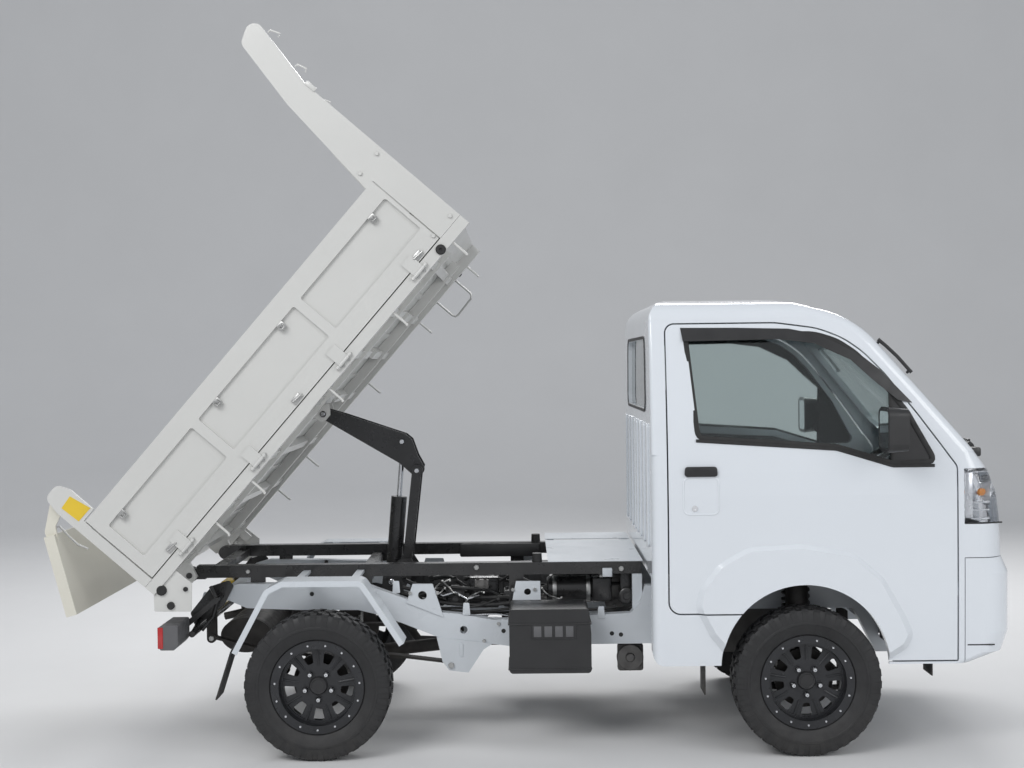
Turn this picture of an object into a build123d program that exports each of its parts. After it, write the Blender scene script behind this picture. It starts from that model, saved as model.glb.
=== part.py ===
"""Light cab-over dump truck, its bed raised and its tailgate hanging open.

Millimetres. +X points forward, +Y to the truck's left, +Z up from the ground.
Stations along the truck are measured from the rear axle, and the origin lies on
the ground below the middle of the truck's length.
"""
import os
from math import asin, atan2, cos, degrees, hypot, pi, radians, sin, sqrt

from build123d import *

# Driving dimensions of the whole truck
WHEELBASE = 1900
TRACK = 1305
FRONT_REACH = 2735

# Wheels and tyres
TYRE_RADIUS = 287
TYRE_WIDTH = 165
TYRE_WALL = 10
BEAD_RADIUS = 166
RIM_WIDTH = 132
RIM_LIP = 181
RIM_WALL = 4
RING_BORE = 150
DISC_THICK = 8
SPOKE_COUNT = 9
HUB_BORE = 30
WHEEL_PAD = 18
SEAT_GAP = 0.3

# Cab
CAB_BACK = 1304
CAB_BOTTOM = 352
CAB_BOW = 6000
WAIST = 1030
WALL_SIDE = 60
WALL_BACK = 45
WALL_ROOF = 34
SHEET = 12
DECK_UNDERSIDE = 690
FOOTWELL_UNDERSIDE = 408
FOOTWELL_BACK = 2262
DASH_WALL = 2640
UNDERBODY_HALF = 640
BASE_OF_SCREEN = 1172
PILLAR_ROUND = 44
ROOF_ROUND = 14
ROOF_TAIL = ((CAB_BACK, 1685), (CAB_BACK + 26, 1752), (CAB_BACK + 92, 1779))
DOOR_GAP = 6
ARCH_CENTRE = (1893, 341)
ARCH_RADIUS = 325
ARCH_RELIEF = 352
GLASS = 5
GLASS_DEPTH = 26
NOSE_SEAM = 2509
BUMPER_TOP = 764
LAMP_BOTTOM = 893
LAMP_TOP = 1108
LAMP_INNER = 410
LAMP_DEPTH = 56

# Chassis frame and the hoist's subframe
FRAME_INNER = 345
FRAME_OUTER = 395
SUBFRAME_INNER = 310
SUBFRAME_OUTER = 360
SUBFRAME_TOP = 715
SUBFRAME_DEPTH = 50
SUBFRAME_TAIL = -542
SUBFRAME_FRONT = 1290
TAIL_LAMP_INNER = 490
DECK_REAR = 905
STOP_X = 861
STOP_TOP = 750
AXLE_TUBE = 36
DRUM = 110
SPRING_EYES = ((506, 305), (-480, 420))
SPRING_SEAT = 345
KINGPIN_LOW = (585, 200)
KINGPIN_HIGH = (455, 760)
STRUT_TOP = 505
SPRING_TOP = 640

# Dump bed: stations run forward from its hinge, heights square to its floor
BED_TILT = 49
HINGE_X = -566
HINGE_Z = 680
HINGE_PIN = 12
PIN_GAP = 0.5
BED_REAR = -58
BED_FRONT = 1828
POST_REAR = 1711
BED_HALF = 728
RAIL_BOTTOM = 28
FLOOR_TOP = 78
FLOOR_SHEET = 6
GATE_GROOVE = 74
BED_TOP = 415
TOP_RAIL = 78
PANEL_BOTTOM = 155
GATE_THICK = 28
GATE_SKIN = 4
SIDE_HINGE_HALF = 736
SIDE_HINGE_V = 51
GATE_PIVOT_U = -10
GATE_PIVOT_V = 558
TAIL_DROP_TOP = 137
TAIL_DROP_END = 458
TAIL_OFFSET = 52
TAIL_THICK = 42
GATE_LEAN = 15

# Hoist linkage, in stations and heights of the truck with its bed raised
BED_PIN = (-53, 1325)
ROD_PIN = (286, 1202)
LINK_PIN = (348, 1076)
LINK_FOOT = (300, 660)
CYLINDER_FOOT = (235, 600)
BARREL_LENGTH = 362
BARREL_RADIUS = 34
BARREL_BORE = 27
ROD_RADIUS = 11
ROD_INSIDE = 100
ARM_PLATE = (40, 50)
LINK_PLATE = (58, 66)
FOOT_PLATE = (70, 78)

BOW_X = FRONT_REACH - CAB_BOW
TILT = radians(BED_TILT)
LEAN = radians(GATE_LEAN)
TAIL_REACH = ((TAIL_OFFSET + TAIL_THICK) * cos(LEAN) - TAIL_DROP_TOP * sin(LEAN)
              - HINGE_X - GATE_PIVOT_U * cos(TILT) + GATE_PIVOT_V * sin(TILT))
AXLE_X = (TAIL_REACH - FRONT_REACH) / 2
SIDES = {"right": -1, "left": 1}

os.makedirs("parts", exist_ok=True)


# Planes and outlines

def side(y=0.0):
    """Upright plane along the truck: x is the station, y the height, facing -Y."""
    return Plane(origin=(AXLE_X, y, 0), x_dir=(1, 0, 0), z_dir=(0, -1, 0))


def across(x):
    """Upright plane across the truck at a station: x runs to +Y, y is the height."""
    return Plane(origin=(AXLE_X + x, 0, 0), x_dir=(0, 1, 0), z_dir=(1, 0, 0))


def level(z):
    """Level plane at a height: x is the station, y runs to +Y."""
    return Plane(origin=(AXLE_X, 0, z))


def bed_side(y=0.0):
    """Like side, but along the raised bed and from its hinge."""
    return Plane(origin=(AXLE_X + HINGE_X, y, HINGE_Z),
                 x_dir=(cos(TILT), 0, sin(TILT)), z_dir=(0, -1, 0))


def bed_point(u, v, y=0.0):
    """Place in the truck of a point of the bed."""
    return (AXLE_X + HINGE_X + u * cos(TILT) - v * sin(TILT), y,
            HINGE_Z + u * sin(TILT) + v * cos(TILT))


def bed_across(u):
    """Plane across the raised bed at its station u."""
    return Plane(origin=bed_point(u, 0), x_dir=(0, 1, 0), z_dir=(cos(TILT), 0, sin(TILT)))


def gate_side(y=0.0):
    """Plane of the hanging tailgate from its pivot: x forward, y up its plate."""
    return Plane(origin=bed_point(GATE_PIVOT_U, GATE_PIVOT_V, y),
                 x_dir=(cos(LEAN), 0, sin(LEAN)), z_dir=(0, -1, 0))


def gate_across(x):
    """Plane across the hanging tailgate: x runs to +Y, y up its plate."""
    pivot = bed_point(GATE_PIVOT_U, GATE_PIVOT_V)
    return Plane(origin=(pivot[0] + x * cos(LEAN), 0, pivot[2] + x * sin(LEAN)),
                 x_dir=(0, 1, 0), z_dir=(cos(LEAN), 0, sin(LEAN)))


def outline(*points, radius=0):
    """Closed face through the points, its corners rounded alike or by a list."""
    with BuildLine() as path:
        if radius:
            FilletPolyline(*points, radius=radius, close=True)
        else:
            Polyline(*points, close=True)
    make_face(path.edges())


def pane(*points, radius=0):
    """A closed face by itself, to be set at several places."""
    with BuildSketch() as face:
        outline(*points, radius=radius)
    return face.sketch


def ribbon(*points, thickness, radius):
    """Face of a bent sheet: an open path given its thickness on one side."""
    with BuildLine() as path:
        run = FilletPolyline(*points, radius=radius)
        offset(run, amount=thickness, side=Side.LEFT)
    make_face(path.edges())


def save(part, name):
    """Label a finished piece and write its file."""
    part.label = name
    export_step(part, f"parts/{name}.step")


def slab(plane, thickness, *points, radius=0, holes=()):
    """Flat plate on a plane, drilled at (x, y, radius) places."""
    with BuildPart() as plate:
        with BuildSketch(plane):
            outline(*points, radius=radius)
            for x, y, hole in holes:
                with Locations((x, y)):
                    Circle(hole, mode=Mode.SUBTRACT)
        extrude(amount=thickness)
    return plate.part


def rod_between(start, end, radius, y=0.0):
    """Round bar between two points of the truck's side plane."""
    run = Vector(end[0] - start[0], 0, end[1] - start[1])
    with BuildPart() as bar:
        with BuildSketch(Plane(origin=(AXLE_X + start[0], y, start[1]), z_dir=run)):
            Circle(radius)
        extrude(amount=run.length)
    return bar.part


# Wheels

def tyre_form():
    """Hollow carcass out to the tips of its tread, open to the rim."""
    half = TYRE_WIDTH / 2
    seat = RIM_WIDTH / 2 - 6
    bead = BEAD_RADIUS + SEAT_GAP
    with BuildPart() as tyre:
        with BuildSketch(Plane.YZ):
            outline((-seat, bead), (-seat, RIM_LIP + 1), (-half, RIM_LIP + 58),
                    (-half + 9, TYRE_RADIUS - 8), (-half + 26, TYRE_RADIUS),
                    (half - 26, TYRE_RADIUS), (half - 9, TYRE_RADIUS - 8),
                    (half, RIM_LIP + 58), (seat, RIM_LIP + 1), (seat, bead),
                    (seat - TYRE_WALL, bead), (half - TYRE_WALL - 4, TYRE_RADIUS - 18),
                    (-half + TYRE_WALL + 4, TYRE_RADIUS - 18), (-seat + TYRE_WALL, bead))
        revolve(axis=Axis.Y)
    return tyre.part


def rim_form():
    """Wheel with its face to -Y: outer ring, dropped barrel and sunken cut disc."""
    half = RIM_WIDTH / 2
    seat = BEAD_RADIUS
    drop = seat - 23
    disc = -WHEEL_PAD
    with BuildPart() as rim:
        with BuildSketch(Plane.YZ):
            outline((-half, RIM_LIP), (-half, RING_BORE), (-half + 6, RING_BORE),
                    (disc - DISC_THICK, drop + 3), (disc - DISC_THICK, HUB_BORE),
                    (disc, HUB_BORE), (disc, drop - RIM_WALL), (11, drop - RIM_WALL),
                    (21, seat - RIM_WALL), (half, seat - RIM_WALL), (half, RIM_LIP - 3),
                    (half - 5, RIM_LIP - 3), (half - 5, seat), (17, seat), (7, drop),
                    (disc + 4, drop), (disc - 6, seat), (-half + 5, seat),
                    (-half + 5, RIM_LIP))
        revolve(axis=Axis.Y)
        with BuildSketch(Plane.XZ.offset(half)):
            with PolarLocations(0, SPOKE_COUNT, start_angle=-90):
                add(pane((88, -12), (136, -23), (136, 23), (88, 12), radius=8))
        extrude(amount=-half, mode=Mode.SUBTRACT)
    return rim.part


# corner of the truck: station of its axle, side
CORNERS = {
    "front_right": (WHEELBASE, -1),
    "front_left": (WHEELBASE, 1),
    "rear_right": (0, -1),
    "rear_left": (0, 1),
}
tyre_shape = tyre_form()
rim_shape = rim_form()
for corner, (axle, hand) in CORNERS.items():
    place = Location((AXLE_X + axle, hand * TRACK / 2, TYRE_RADIUS), (0, 0, 90 + 90 * hand))
    with BuildPart() as tyre:
        with Locations(place):
            add(tyre_shape)
    save(tyre.part, f"tyre_{corner}")
    with BuildPart() as rim:
        with Locations(place):
            add(rim_shape)
    save(rim.part, f"rim_{corner}")


# Cab body: the outer skin, and the same form drawn in by the wall's thickness

def arc_half(low, mid, high, z):
    """Half width at a height on the arc through three (half width, height) points."""
    (y1, z1), (y2, z2), (y3, z3) = low, mid, high
    turn = 2 * (y1 * (z2 - z3) + y2 * (z3 - z1) + y3 * (z1 - z2))
    s1, s2, s3 = y1**2 + z1**2, y2**2 + z2**2, y3**2 + z3**2
    centre_y = (s1 * (z2 - z3) + s2 * (z3 - z1) + s3 * (z1 - z2)) / turn
    centre_z = (s1 * (y3 - y2) + s2 * (y1 - y3) + s3 * (y2 - y1)) / turn
    return centre_y + sqrt(hypot(y1 - centre_y, z1 - centre_z)**2 - (z - centre_z)**2)


# half width of the cab's side at three heights, below and above the waist
LOWER_SIDE = ((700, 342), (711, 700), (714, WAIST))
UPPER_SIDE = ((714, WAIST), (685, 1380), (630, 1690))


def cab_half(z):
    """Half width of the cab's side at a height."""
    return arc_half(*(LOWER_SIDE if z < WAIST else UPPER_SIDE), z)


def cab_plan(x_front, half, corner, back, back_corner):
    """Level section of the cab: bowed front, rounded corners, straight sides."""
    centre = x_front - CAB_BOW
    corner_y = half - corner
    corner_x = centre + sqrt((CAB_BOW - corner)**2 - corner_y**2)
    reach = CAB_BOW / (CAB_BOW - corner)
    front_x, front_y = centre + (corner_x - centre) * reach, corner_y * reach
    middle = (atan2(corner_y, corner_x - centre) + pi / 2) / 2
    mid_x, mid_y = corner_x + corner * cos(middle), corner_y + corner * sin(middle)
    cut = back_corner * (1 - sqrt(0.5))
    with BuildLine() as path:
        ThreePointArc((front_x, -front_y), (x_front, 0), (front_x, front_y))
        ThreePointArc((front_x, front_y), (mid_x, mid_y), (corner_x, half))
        Line((corner_x, half), (back + back_corner, half))
        ThreePointArc((back + back_corner, half), (back + cut, half - cut),
                      (back, half - back_corner))
        Line((back, half - back_corner), (back, back_corner - half))
        ThreePointArc((back, back_corner - half), (back + cut, cut - half),
                      (back + back_corner, -half))
        Line((back + back_corner, -half), (corner_x, -half))
        ThreePointArc((corner_x, -half), (mid_x, -mid_y), (front_x, -front_y))
    make_face(path.edges())


# height, setback of the nose behind the bumper, corner radius
NOSE = (
    (CAB_BOTTOM, 145, 90),
    (394, 27, 105),
    (470, 0, 110),
    (700, 0, 110),
    (BUMPER_TOP, 28, 105),
    (900, 33, 105),
    (1010, 46, 100),
    (1100, 81, 90),
    (BASE_OF_SCREEN, 135, 56),
)


def cab_lower(inset=0.0):
    """Lower cab from the sill to the foot of the windscreen."""
    with BuildPart() as body:
        for z, setback, corner in NOSE:
            with BuildSketch(level(z)):
                cab_plan(FRONT_REACH - setback - inset, cab_half(z) - inset,
                         corner - inset / 2, CAB_BACK + inset, max(30 - inset, 6))
        loft(ruled=True)
    return body.part


def bow_plane(spread):
    """Side plane turned about the centre of the cab's bow."""
    turn = radians(spread / 2)
    return Plane(origin=(AXLE_X + BOW_X, 0, 0), x_dir=(cos(turn), -sin(turn), 0),
                 z_dir=(-sin(turn), -cos(turn), 0))


def bowed(spread, *points):
    """Points of a profile, from stations to distances from the bow's centre."""
    return [(x - BOW_X, z) for x, z in points]


BOW_SPREAD = 20
# windscreen foot, middle and head, the brow, then the roof's front, as setback and height
SCREEN = ((135, BASE_OF_SCREEN), (336, 1408), (499, 1598))
BROW = ((499, 1598), (595, 1682), (740, 1738))
CREST = ((740, 1738), (830, 1763), (920, 1782))


def cab_upper(inset=0.0, roof_inset=0.0):
    """Greenhouse: sides and roof crown run back, the screen bows across."""
    foot = BASE_OF_SCREEN
    with BuildPart() as house:
        with BuildSketch(across(CAB_BACK + inset)):
            with BuildLine():
                Polyline((0, foot), (cab_half(foot) - inset, foot))
                ThreePointArc((cab_half(foot) - inset, foot), (cab_half(1430) - inset, 1430),
                              (630 - inset, 1690 - roof_inset))
                ThreePointArc((630 - inset, 1690 - roof_inset), (607 - inset, 1741 - roof_inset),
                              (556 - inset, 1763 - roof_inset))
                ThreePointArc((556 - inset, 1763 - roof_inset),
                              (280 - inset / 2, 1783 - roof_inset), (0, 1789 - roof_inset))
                Line((0, 1789 - roof_inset), (0, foot))
            make_face()
            mirror(about=Plane.YZ)
        extrude(amount=FRONT_REACH - CAB_BACK)
        screen = bowed(BOW_SPREAD, *[(FRONT_REACH - s - inset, z) for s, z in SCREEN])
        brow = bowed(BOW_SPREAD, *[(FRONT_REACH - s - inset, z) for s, z in BROW])
        crest = bowed(BOW_SPREAD, *[(FRONT_REACH - s - inset, z) for s, z in CREST])
        rear = CAB_BACK - 400 - BOW_X
        with BuildSketch(bow_plane(BOW_SPREAD)):
            with BuildLine():
                Polyline((rear, 1860), (rear, foot), screen[0])
                ThreePointArc(*screen)
                ThreePointArc(*brow)
                ThreePointArc(*crest)
                Polyline(crest[2], (crest[2][0] - 90, 1860), (rear, 1860))
            make_face()
        revolve(axis=Axis((AXLE_X + BOW_X, 0, 0), (0, 0, 1)), revolution_arc=BOW_SPREAD,
                mode=Mode.INTERSECT)
        if not inset:
            pillars = house.edges().filter_by(GeomType.BSPLINE)
            fillet(pillars.filter_by(lambda e: abs((e @ 0.5).Y) > 500), PILLAR_ROUND)
            back = house.faces().sort_by(Axis.X)[0].edges()
            fillet(back.filter_by(lambda e: (e @ 0.5).Z > foot + 1), ROOF_ROUND)
        with BuildSketch(side(800)):
            with BuildLine():
                ThreePointArc(ROOF_TAIL[0], ROOF_TAIL[1], ROOF_TAIL[2])
                Polyline(ROOF_TAIL[2], (ROOF_TAIL[2][0], 1860), (CAB_BACK - 10, 1860),
                         (CAB_BACK - 10, ROOF_TAIL[0][1]), ROOF_TAIL[0])
            make_face()
        extrude(amount=1600, mode=Mode.SUBTRACT)
    return house.part


def side_prism(hand, inner, *points, radius=0, depth=400):
    """Block from a side outline, from a half width outward, on one hand."""
    return slab(side(hand * inner), -hand * depth, *points, radius=radius)


DOOR_REAR = 1364
DOOR_SEAM = 2487
DOOR_TOP = 1684
# the door's rounded front upper edge, along the windscreen pillar
DOOR_ARCH = ((1800, DOOR_TOP), (1964, 1661), (2062, 1622), (2138, 1566), (2215, 1484),
             (2341, 1320))
DOOR_HEEL = 551
DOOR_TOE = 360


def door_outline(gap):
    """Outline of the door opening, drawn in by a gap."""
    with BuildLine() as path:
        FilletPolyline((DOOR_REAR, DOOR_HEEL), (DOOR_REAR, DOOR_TOP), *DOOR_ARCH,
                       (DOOR_SEAM, 1118), (DOOR_SEAM, DOOR_TOE), (ARCH_CENTRE[0], DOOR_TOE),
                       (ARCH_CENTRE[0], DOOR_HEEL),
                       radius=[50, 40] + [300] * len(DOOR_ARCH) + [40, 8, 1, 1], close=True)
    make_face(path.edges())
    if gap:
        offset(amount=-gap, mode=Mode.REPLACE)


def arch_cut(hand, inner, outer, radius):
    """Wheel arch as a round-topped cutter between two half widths."""
    x, z = ARCH_CENTRE
    with BuildPart() as cutter:
        with BuildSketch(side(hand * inner)):
            with Locations((x, z)):
                Circle(radius)
            with Locations((x, z - 100)):
                Rectangle(2 * radius, 200)
        extrude(amount=-hand * (outer - inner))
    return cutter.part


def door_block(hand, gap, inner, outer):
    """Prism of the door's outline between two half widths."""
    with BuildPart() as block:
        with BuildSketch(side(hand * inner)):
            door_outline(gap)
        extrude(amount=-hand * (outer - inner))
    return block.part


def door_room(hand, gap, clear):
    """The door's share of the wall, or with no gap the opening that takes it."""
    with BuildPart() as block:
        add(door_block(hand, gap, 540, 900))
        inner = UNDERBODY_HALF + 2 + clear
        add(slab(side(inner), 2 * inner, (1200, 300), (2800, 300), (2800, 1110), (1200, 1110)),
            mode=Mode.SUBTRACT)
    return block.part


WINDOW = ((1486, 1236), (2022, 1198), (2240, 1130), (2402, 1134), (2296, 1330), (2176, 1487),
          (2106, 1560), (2036, 1608), (1950, 1636), (1446, 1640))
WINDOW_ROUND = [34, 60, 30, 24, 200, 200, 200, 200, 200, 24]
WINDOW_SPLIT = 2237


def window_block(hand, gap, rear, front):
    """The door's window, drawn in by a gap, between two stations."""
    with BuildPart() as block:
        with BuildSketch(side(hand * 500)):
            outline(*WINDOW, radius=WINDOW_ROUND)
            offset(amount=-gap, mode=Mode.REPLACE)
        extrude(amount=-hand * 400)
        add(slab(side(hand * 490), -hand * 420, (rear, 1000), (front, 1000), (front, 1700),
                 (rear, 1700)), mode=Mode.INTERSECT)
    return block.part


FLARE = ((1471, 582), (1490, 660), (1560, 752), (1674, 815), (1882, 826), (2085, 790),
         (2198, 688), (2274, 545), (2306, 468), (2280, 420), (2200, 370), (1590, 400), (1530, 470))
FLARE_ROUND = [60, 100, 100, 100, 100, 100, 100, 100, 40, 40, 40, 40, 40]
FLARE_HALF = 726


def flare(hand):
    """Raised swelling round the front wheel arch, with soft edges."""
    with BuildPart() as lip:
        with BuildSketch(side(hand * 700)):
            outline(*FLARE, radius=FLARE_ROUND)
            offset(amount=12, mode=Mode.REPLACE)
        extrude(amount=-hand * (FLARE_HALF - 700), taper=50)
    return lip.part


outer_lower = cab_lower()
outer_upper = cab_upper()
inner_lower = cab_lower(WALL_SIDE)
inner_upper = cab_upper(WALL_BACK, WALL_ROOF)

with BuildPart() as skin:
    add(outer_lower)
    add(outer_upper)
    for hand in SIDES.values():
        add(flare(hand))

with BuildPart() as cavity:
    add(inner_lower)
    add(inner_upper)
    with BuildSketch(side(-800)):
        outline((CAB_BACK + WALL_BACK, DECK_UNDERSIDE + SHEET),
                (FOOTWELL_BACK + SHEET, DECK_UNDERSIDE + SHEET),
                (FOOTWELL_BACK + SHEET, FOOTWELL_UNDERSIDE + SHEET),
                (DASH_WALL - 60, FOOTWELL_UNDERSIDE + SHEET), (DASH_WALL, 700),
                (DASH_WALL, 1900), (CAB_BACK + WALL_BACK, 1900))
    extrude(amount=-1600, mode=Mode.INTERSECT)

UNDERBODY = ((CAB_BACK - 20, 300), (CAB_BACK - 20, DECK_UNDERSIDE), (FOOTWELL_BACK, DECK_UNDERSIDE),
             (FOOTWELL_BACK, FOOTWELL_UNDERSIDE), (DASH_WALL - 40, FOOTWELL_UNDERSIDE),
             (DASH_WALL - 10, 560), (DASH_WALL + 20, 560), (DASH_WALL + 20, 300))

with BuildPart() as walls:
    add(skin.part)
    add(cavity.part, mode=Mode.SUBTRACT)
    add(slab(side(UNDERBODY_HALF), 2 * UNDERBODY_HALF, *UNDERBODY), mode=Mode.SUBTRACT)
    for hand in SIDES.values():
        add(arch_cut(hand, UNDERBODY_HALF - 40, 690, ARCH_RELIEF), mode=Mode.SUBTRACT)
        add(arch_cut(hand, 689, 800, ARCH_RADIUS), mode=Mode.SUBTRACT)
    add(slab(side(800), 1600, (CAB_BACK, CAB_BOTTOM + 52), (CAB_BACK + 7, CAB_BOTTOM + 24),
             (CAB_BACK + 18, CAB_BOTTOM + 8), (CAB_BACK + 38, CAB_BOTTOM), (CAB_BACK + 38, 300),
             (CAB_BACK - 20, 300), (CAB_BACK - 20, CAB_BOTTOM + 52)), mode=Mode.SUBTRACT)

# Outlines of the openings in the cab's back and front, as half width and height
REAR_WINDOW = ((-470, 1345), (470, 1345), (440, 1625), (-440, 1625))
SCREEN_OPENING = ((-640, 1205), (640, 1205), (575, 1585), (-575, 1585))


def front_block(gap=0.0):
    """Everything of the nose ahead of its seam and below the bumper's top."""
    return slab(side(900), 1800, (NOSE_SEAM + gap, 300), (FRONT_REACH + 50, 300),
                (FRONT_REACH + 50, BUMPER_TOP - gap), (NOSE_SEAM + gap, BUMPER_TOP - gap))


def lamp_block(gap=0.0):
    """Two corner blocks that hold the headlamps."""
    with BuildPart() as block:
        with BuildSketch(side(900)):
            outline((NOSE_SEAM + gap, LAMP_BOTTOM + gap), (FRONT_REACH + 50, LAMP_BOTTOM + gap),
                    (FRONT_REACH + 50, LAMP_TOP - gap), (NOSE_SEAM + gap, LAMP_TOP - gap))
        extrude(amount=1800)
        with BuildSketch(side(LAMP_INNER + gap)):
            outline((NOSE_SEAM - 50, 800), (FRONT_REACH + 60, 800), (FRONT_REACH + 60, 1200),
                    (NOSE_SEAM - 50, 1200))
        extrude(amount=2 * LAMP_INNER + 2 * gap, mode=Mode.SUBTRACT)
    return block.part


with BuildPart() as cab_shell:
    add(walls.part)
    for hand in SIDES.values():
        add(door_room(hand, 0, 0), mode=Mode.SUBTRACT)
    add(front_block(), mode=Mode.SUBTRACT)
    add(lamp_block(), mode=Mode.SUBTRACT)
    with BuildSketch(across(CAB_BACK - 20)):
        outline(*REAR_WINDOW, radius=50)
    extrude(amount=WALL_BACK + 60, mode=Mode.SUBTRACT)
    with BuildSketch(across(2050)):
        outline(*SCREEN_OPENING, radius=60)
    extrude(amount=700, mode=Mode.SUBTRACT)
save(cab_shell.part, "cab_shell")

with BuildPart() as front_bumper:
    add(walls.part)
    add(front_block(3), mode=Mode.INTERSECT)
    with BuildSketch(across(DASH_WALL - 100)):
        with Locations((0, 470)):
            RectangleRounded(760, 110, 30)
    extrude(amount=300, mode=Mode.SUBTRACT)
save(front_bumper.part, "front_bumper")

with BuildPart() as headlamps:
    add(outer_lower)
    add(cab_lower(LAMP_DEPTH), mode=Mode.SUBTRACT)
    add(lamp_block(2), mode=Mode.INTERSECT)
save(headlamps.part, "headlamps")


def side_band(hand, depth, thickness):
    """Curved sheet at a depth inside the cab's upper side."""
    with BuildPart() as band:
        with BuildSketch(across(1400)):
            with BuildLine():
                ThreePointArc(*[(hand * (cab_half(z) - depth), z) for z in (1100, 1390, 1670)])
                Line((hand * (cab_half(1670) - depth), 1670),
                     (hand * (cab_half(1670) - depth - thickness), 1670))
                ThreePointArc(*[(hand * (cab_half(z) - depth - thickness), z)
                                for z in (1670, 1390, 1100)])
                Line((hand * (cab_half(1100) - depth - thickness), 1100),
                     (hand * (cab_half(1100) - depth), 1100))
            make_face()
        extrude(amount=1050)
    return band.part


MIRROR_X = 2218
MIRROR_HALF = 810

for name, hand in SIDES.items():
    with BuildPart() as door:
        add(walls.part)
        add(door_room(hand, DOOR_GAP, 3), mode=Mode.INTERSECT)
        add(side_prism(hand, 500, *WINDOW, radius=WINDOW_ROUND), mode=Mode.SUBTRACT)
    save(door.part, f"door_{name}")
    with BuildPart() as door_glass:
        add(side_band(hand, GLASS_DEPTH - 10, GLASS))
        add(window_block(hand, SEAT_GAP, 1300, WINDOW_SPLIT), mode=Mode.INTERSECT)
    save(door_glass.part, f"door_glass_{name}")
    with BuildPart() as mirror_unit:
        add(side_band(hand, 2, 20))
        add(window_block(hand, SEAT_GAP, WINDOW_SPLIT + SEAT_GAP, 2500), mode=Mode.INTERSECT)
        add(slab(side(hand * 690), -hand * 60, (MIRROR_X + 24, 1190), (MIRROR_X + 50, 1190),
                 (MIRROR_X + 50, 1240), (MIRROR_X + 24, 1240), radius=8))
        with BuildSketch(across(MIRROR_X - 38)):
            with Locations((hand * MIRROR_HALF, 1266)):
                RectangleRounded(160, 172, 34)
        extrude(amount=76, taper=5)
    save(mirror_unit.part, f"mirror_{name}")

with BuildPart() as windscreen:
    add(cab_upper(8))
    add(cab_upper(16), mode=Mode.SUBTRACT)
    with BuildSketch(across(2050)):
        outline(*SCREEN_OPENING, radius=60)
        offset(amount=-0.3, mode=Mode.REPLACE)
    extrude(amount=700, mode=Mode.INTERSECT)
save(windscreen.part, "windscreen")

with BuildPart() as rear_window:
    with BuildSketch(across(CAB_BACK + 16)):
        outline(*REAR_WINDOW, radius=50)
        offset(amount=-0.3, mode=Mode.REPLACE)
    extrude(amount=GLASS)
save(rear_window.part, "rear_window")

with BuildPart() as dashboard:
    add(slab(side(396), 792, (2400, 790), (2392, 930), (2450, 1010), (2585, 1060),
             (2585, 790), radius=12))
    add(slab(side(628), 1256, (2400, 790), (2392, 930), (2450, 1010), (2500, 1030),
             (2500, 790), radius=12))
save(dashboard.part, "dashboard")

WHEEL_Y = -330
WHEEL_HUB = (2215, 1075)
with BuildPart() as steering_wheel:
    tip = radians(38)
    wheel_plane = Plane(origin=(AXLE_X + WHEEL_HUB[0], WHEEL_Y, WHEEL_HUB[1]),
                        x_dir=(cos(tip), 0, sin(tip)), z_dir=(-sin(tip), 0, cos(tip)))
    with BuildSketch(wheel_plane.offset(-10)):
        Circle(185)
        Circle(163, mode=Mode.SUBTRACT)
        Circle(48)
        for turn in (0, 120, 240):
            with Locations(Location((0, 0), turn)):
                with Locations((105, 0)):
                    Rectangle(130, 26)
    extrude(amount=20)
    with BuildSketch(wheel_plane.offset(-10)):
        Circle(20)
    extrude(amount=-205)
    add(slab(side(WHEEL_Y + 50), 100, (2310, 860), (2320, 930), (2389, 940), (2389, 830),
             radius=8))
save(steering_wheel.part, "steering_wheel")

with BuildPart() as seats:
    for hand in SIDES.values():
        add(slab(side(hand * 320 + 240), 480, (1540, DECK_UNDERSIDE + SHEET + 2),
                 (2020, DECK_UNDERSIDE + SHEET + 2), (2050, 800), (2020, 850),
                 (1500 + SEAT_GAP, 825), (1500 + SEAT_GAP, 762), radius=[8, 14, 14, 14, 8, 8]))
        add(slab(side(hand * 320 + 240), 480, (1500, 760), (1500, 825), (1440, 1290),
                 (1395, 1300), (1365, 1280), (1400, 800), radius=[8, 8, 14, 14, 14, 14]))
        add(slab(side(hand * 320 + 120), 240, (1394, 1270), (1438, 1270), (1432, 1420),
                 (1388, 1420), radius=18))
save(seats.part, "seats")

with BuildPart() as wheelhouses:
    for hand in SIDES.values():
        with BuildSketch(side(hand * 402)):
            ribbon((1536, 352), (1536, 560), (1625, 682), (2175, 682), (2254, 560), (2254, 400),
                   thickness=-6, radius=40)
        extrude(amount=-hand * 236)
save(wheelhouses.part, "wheelhouses")


# Chassis frame, seen from the side as one deep rail each side

FRAME_SIDE = ((-433, 625), (-362, 645), (-239, 643), (173, 631), (206, 618), (345, 567),
              (455, 520), (541, 511), (681, 485), (1080, 501), (1240, 508), (1281, 557),
              (1300, 620), (1480, 620), (1560, 640), (2230, 640), (2252, 400), (2600, 400),
              (2600, 340), (2240, 340), (2150, 520), (1620, 520), (1330, 383), (1078, 382),
              (749, 377), (454, 417), (294, 481), (196, 515), (126, 532), (-117, 535),
              (-331, 545), (-433, 590))
# cross member: station, bottom, top
FRAME_CROSS = ((-420, 590, 625), (-215, 560, 620), (440, 440, 490), (1000, 418, 458),
               (1400, 530, 570), (2560, 345, 395))
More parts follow.
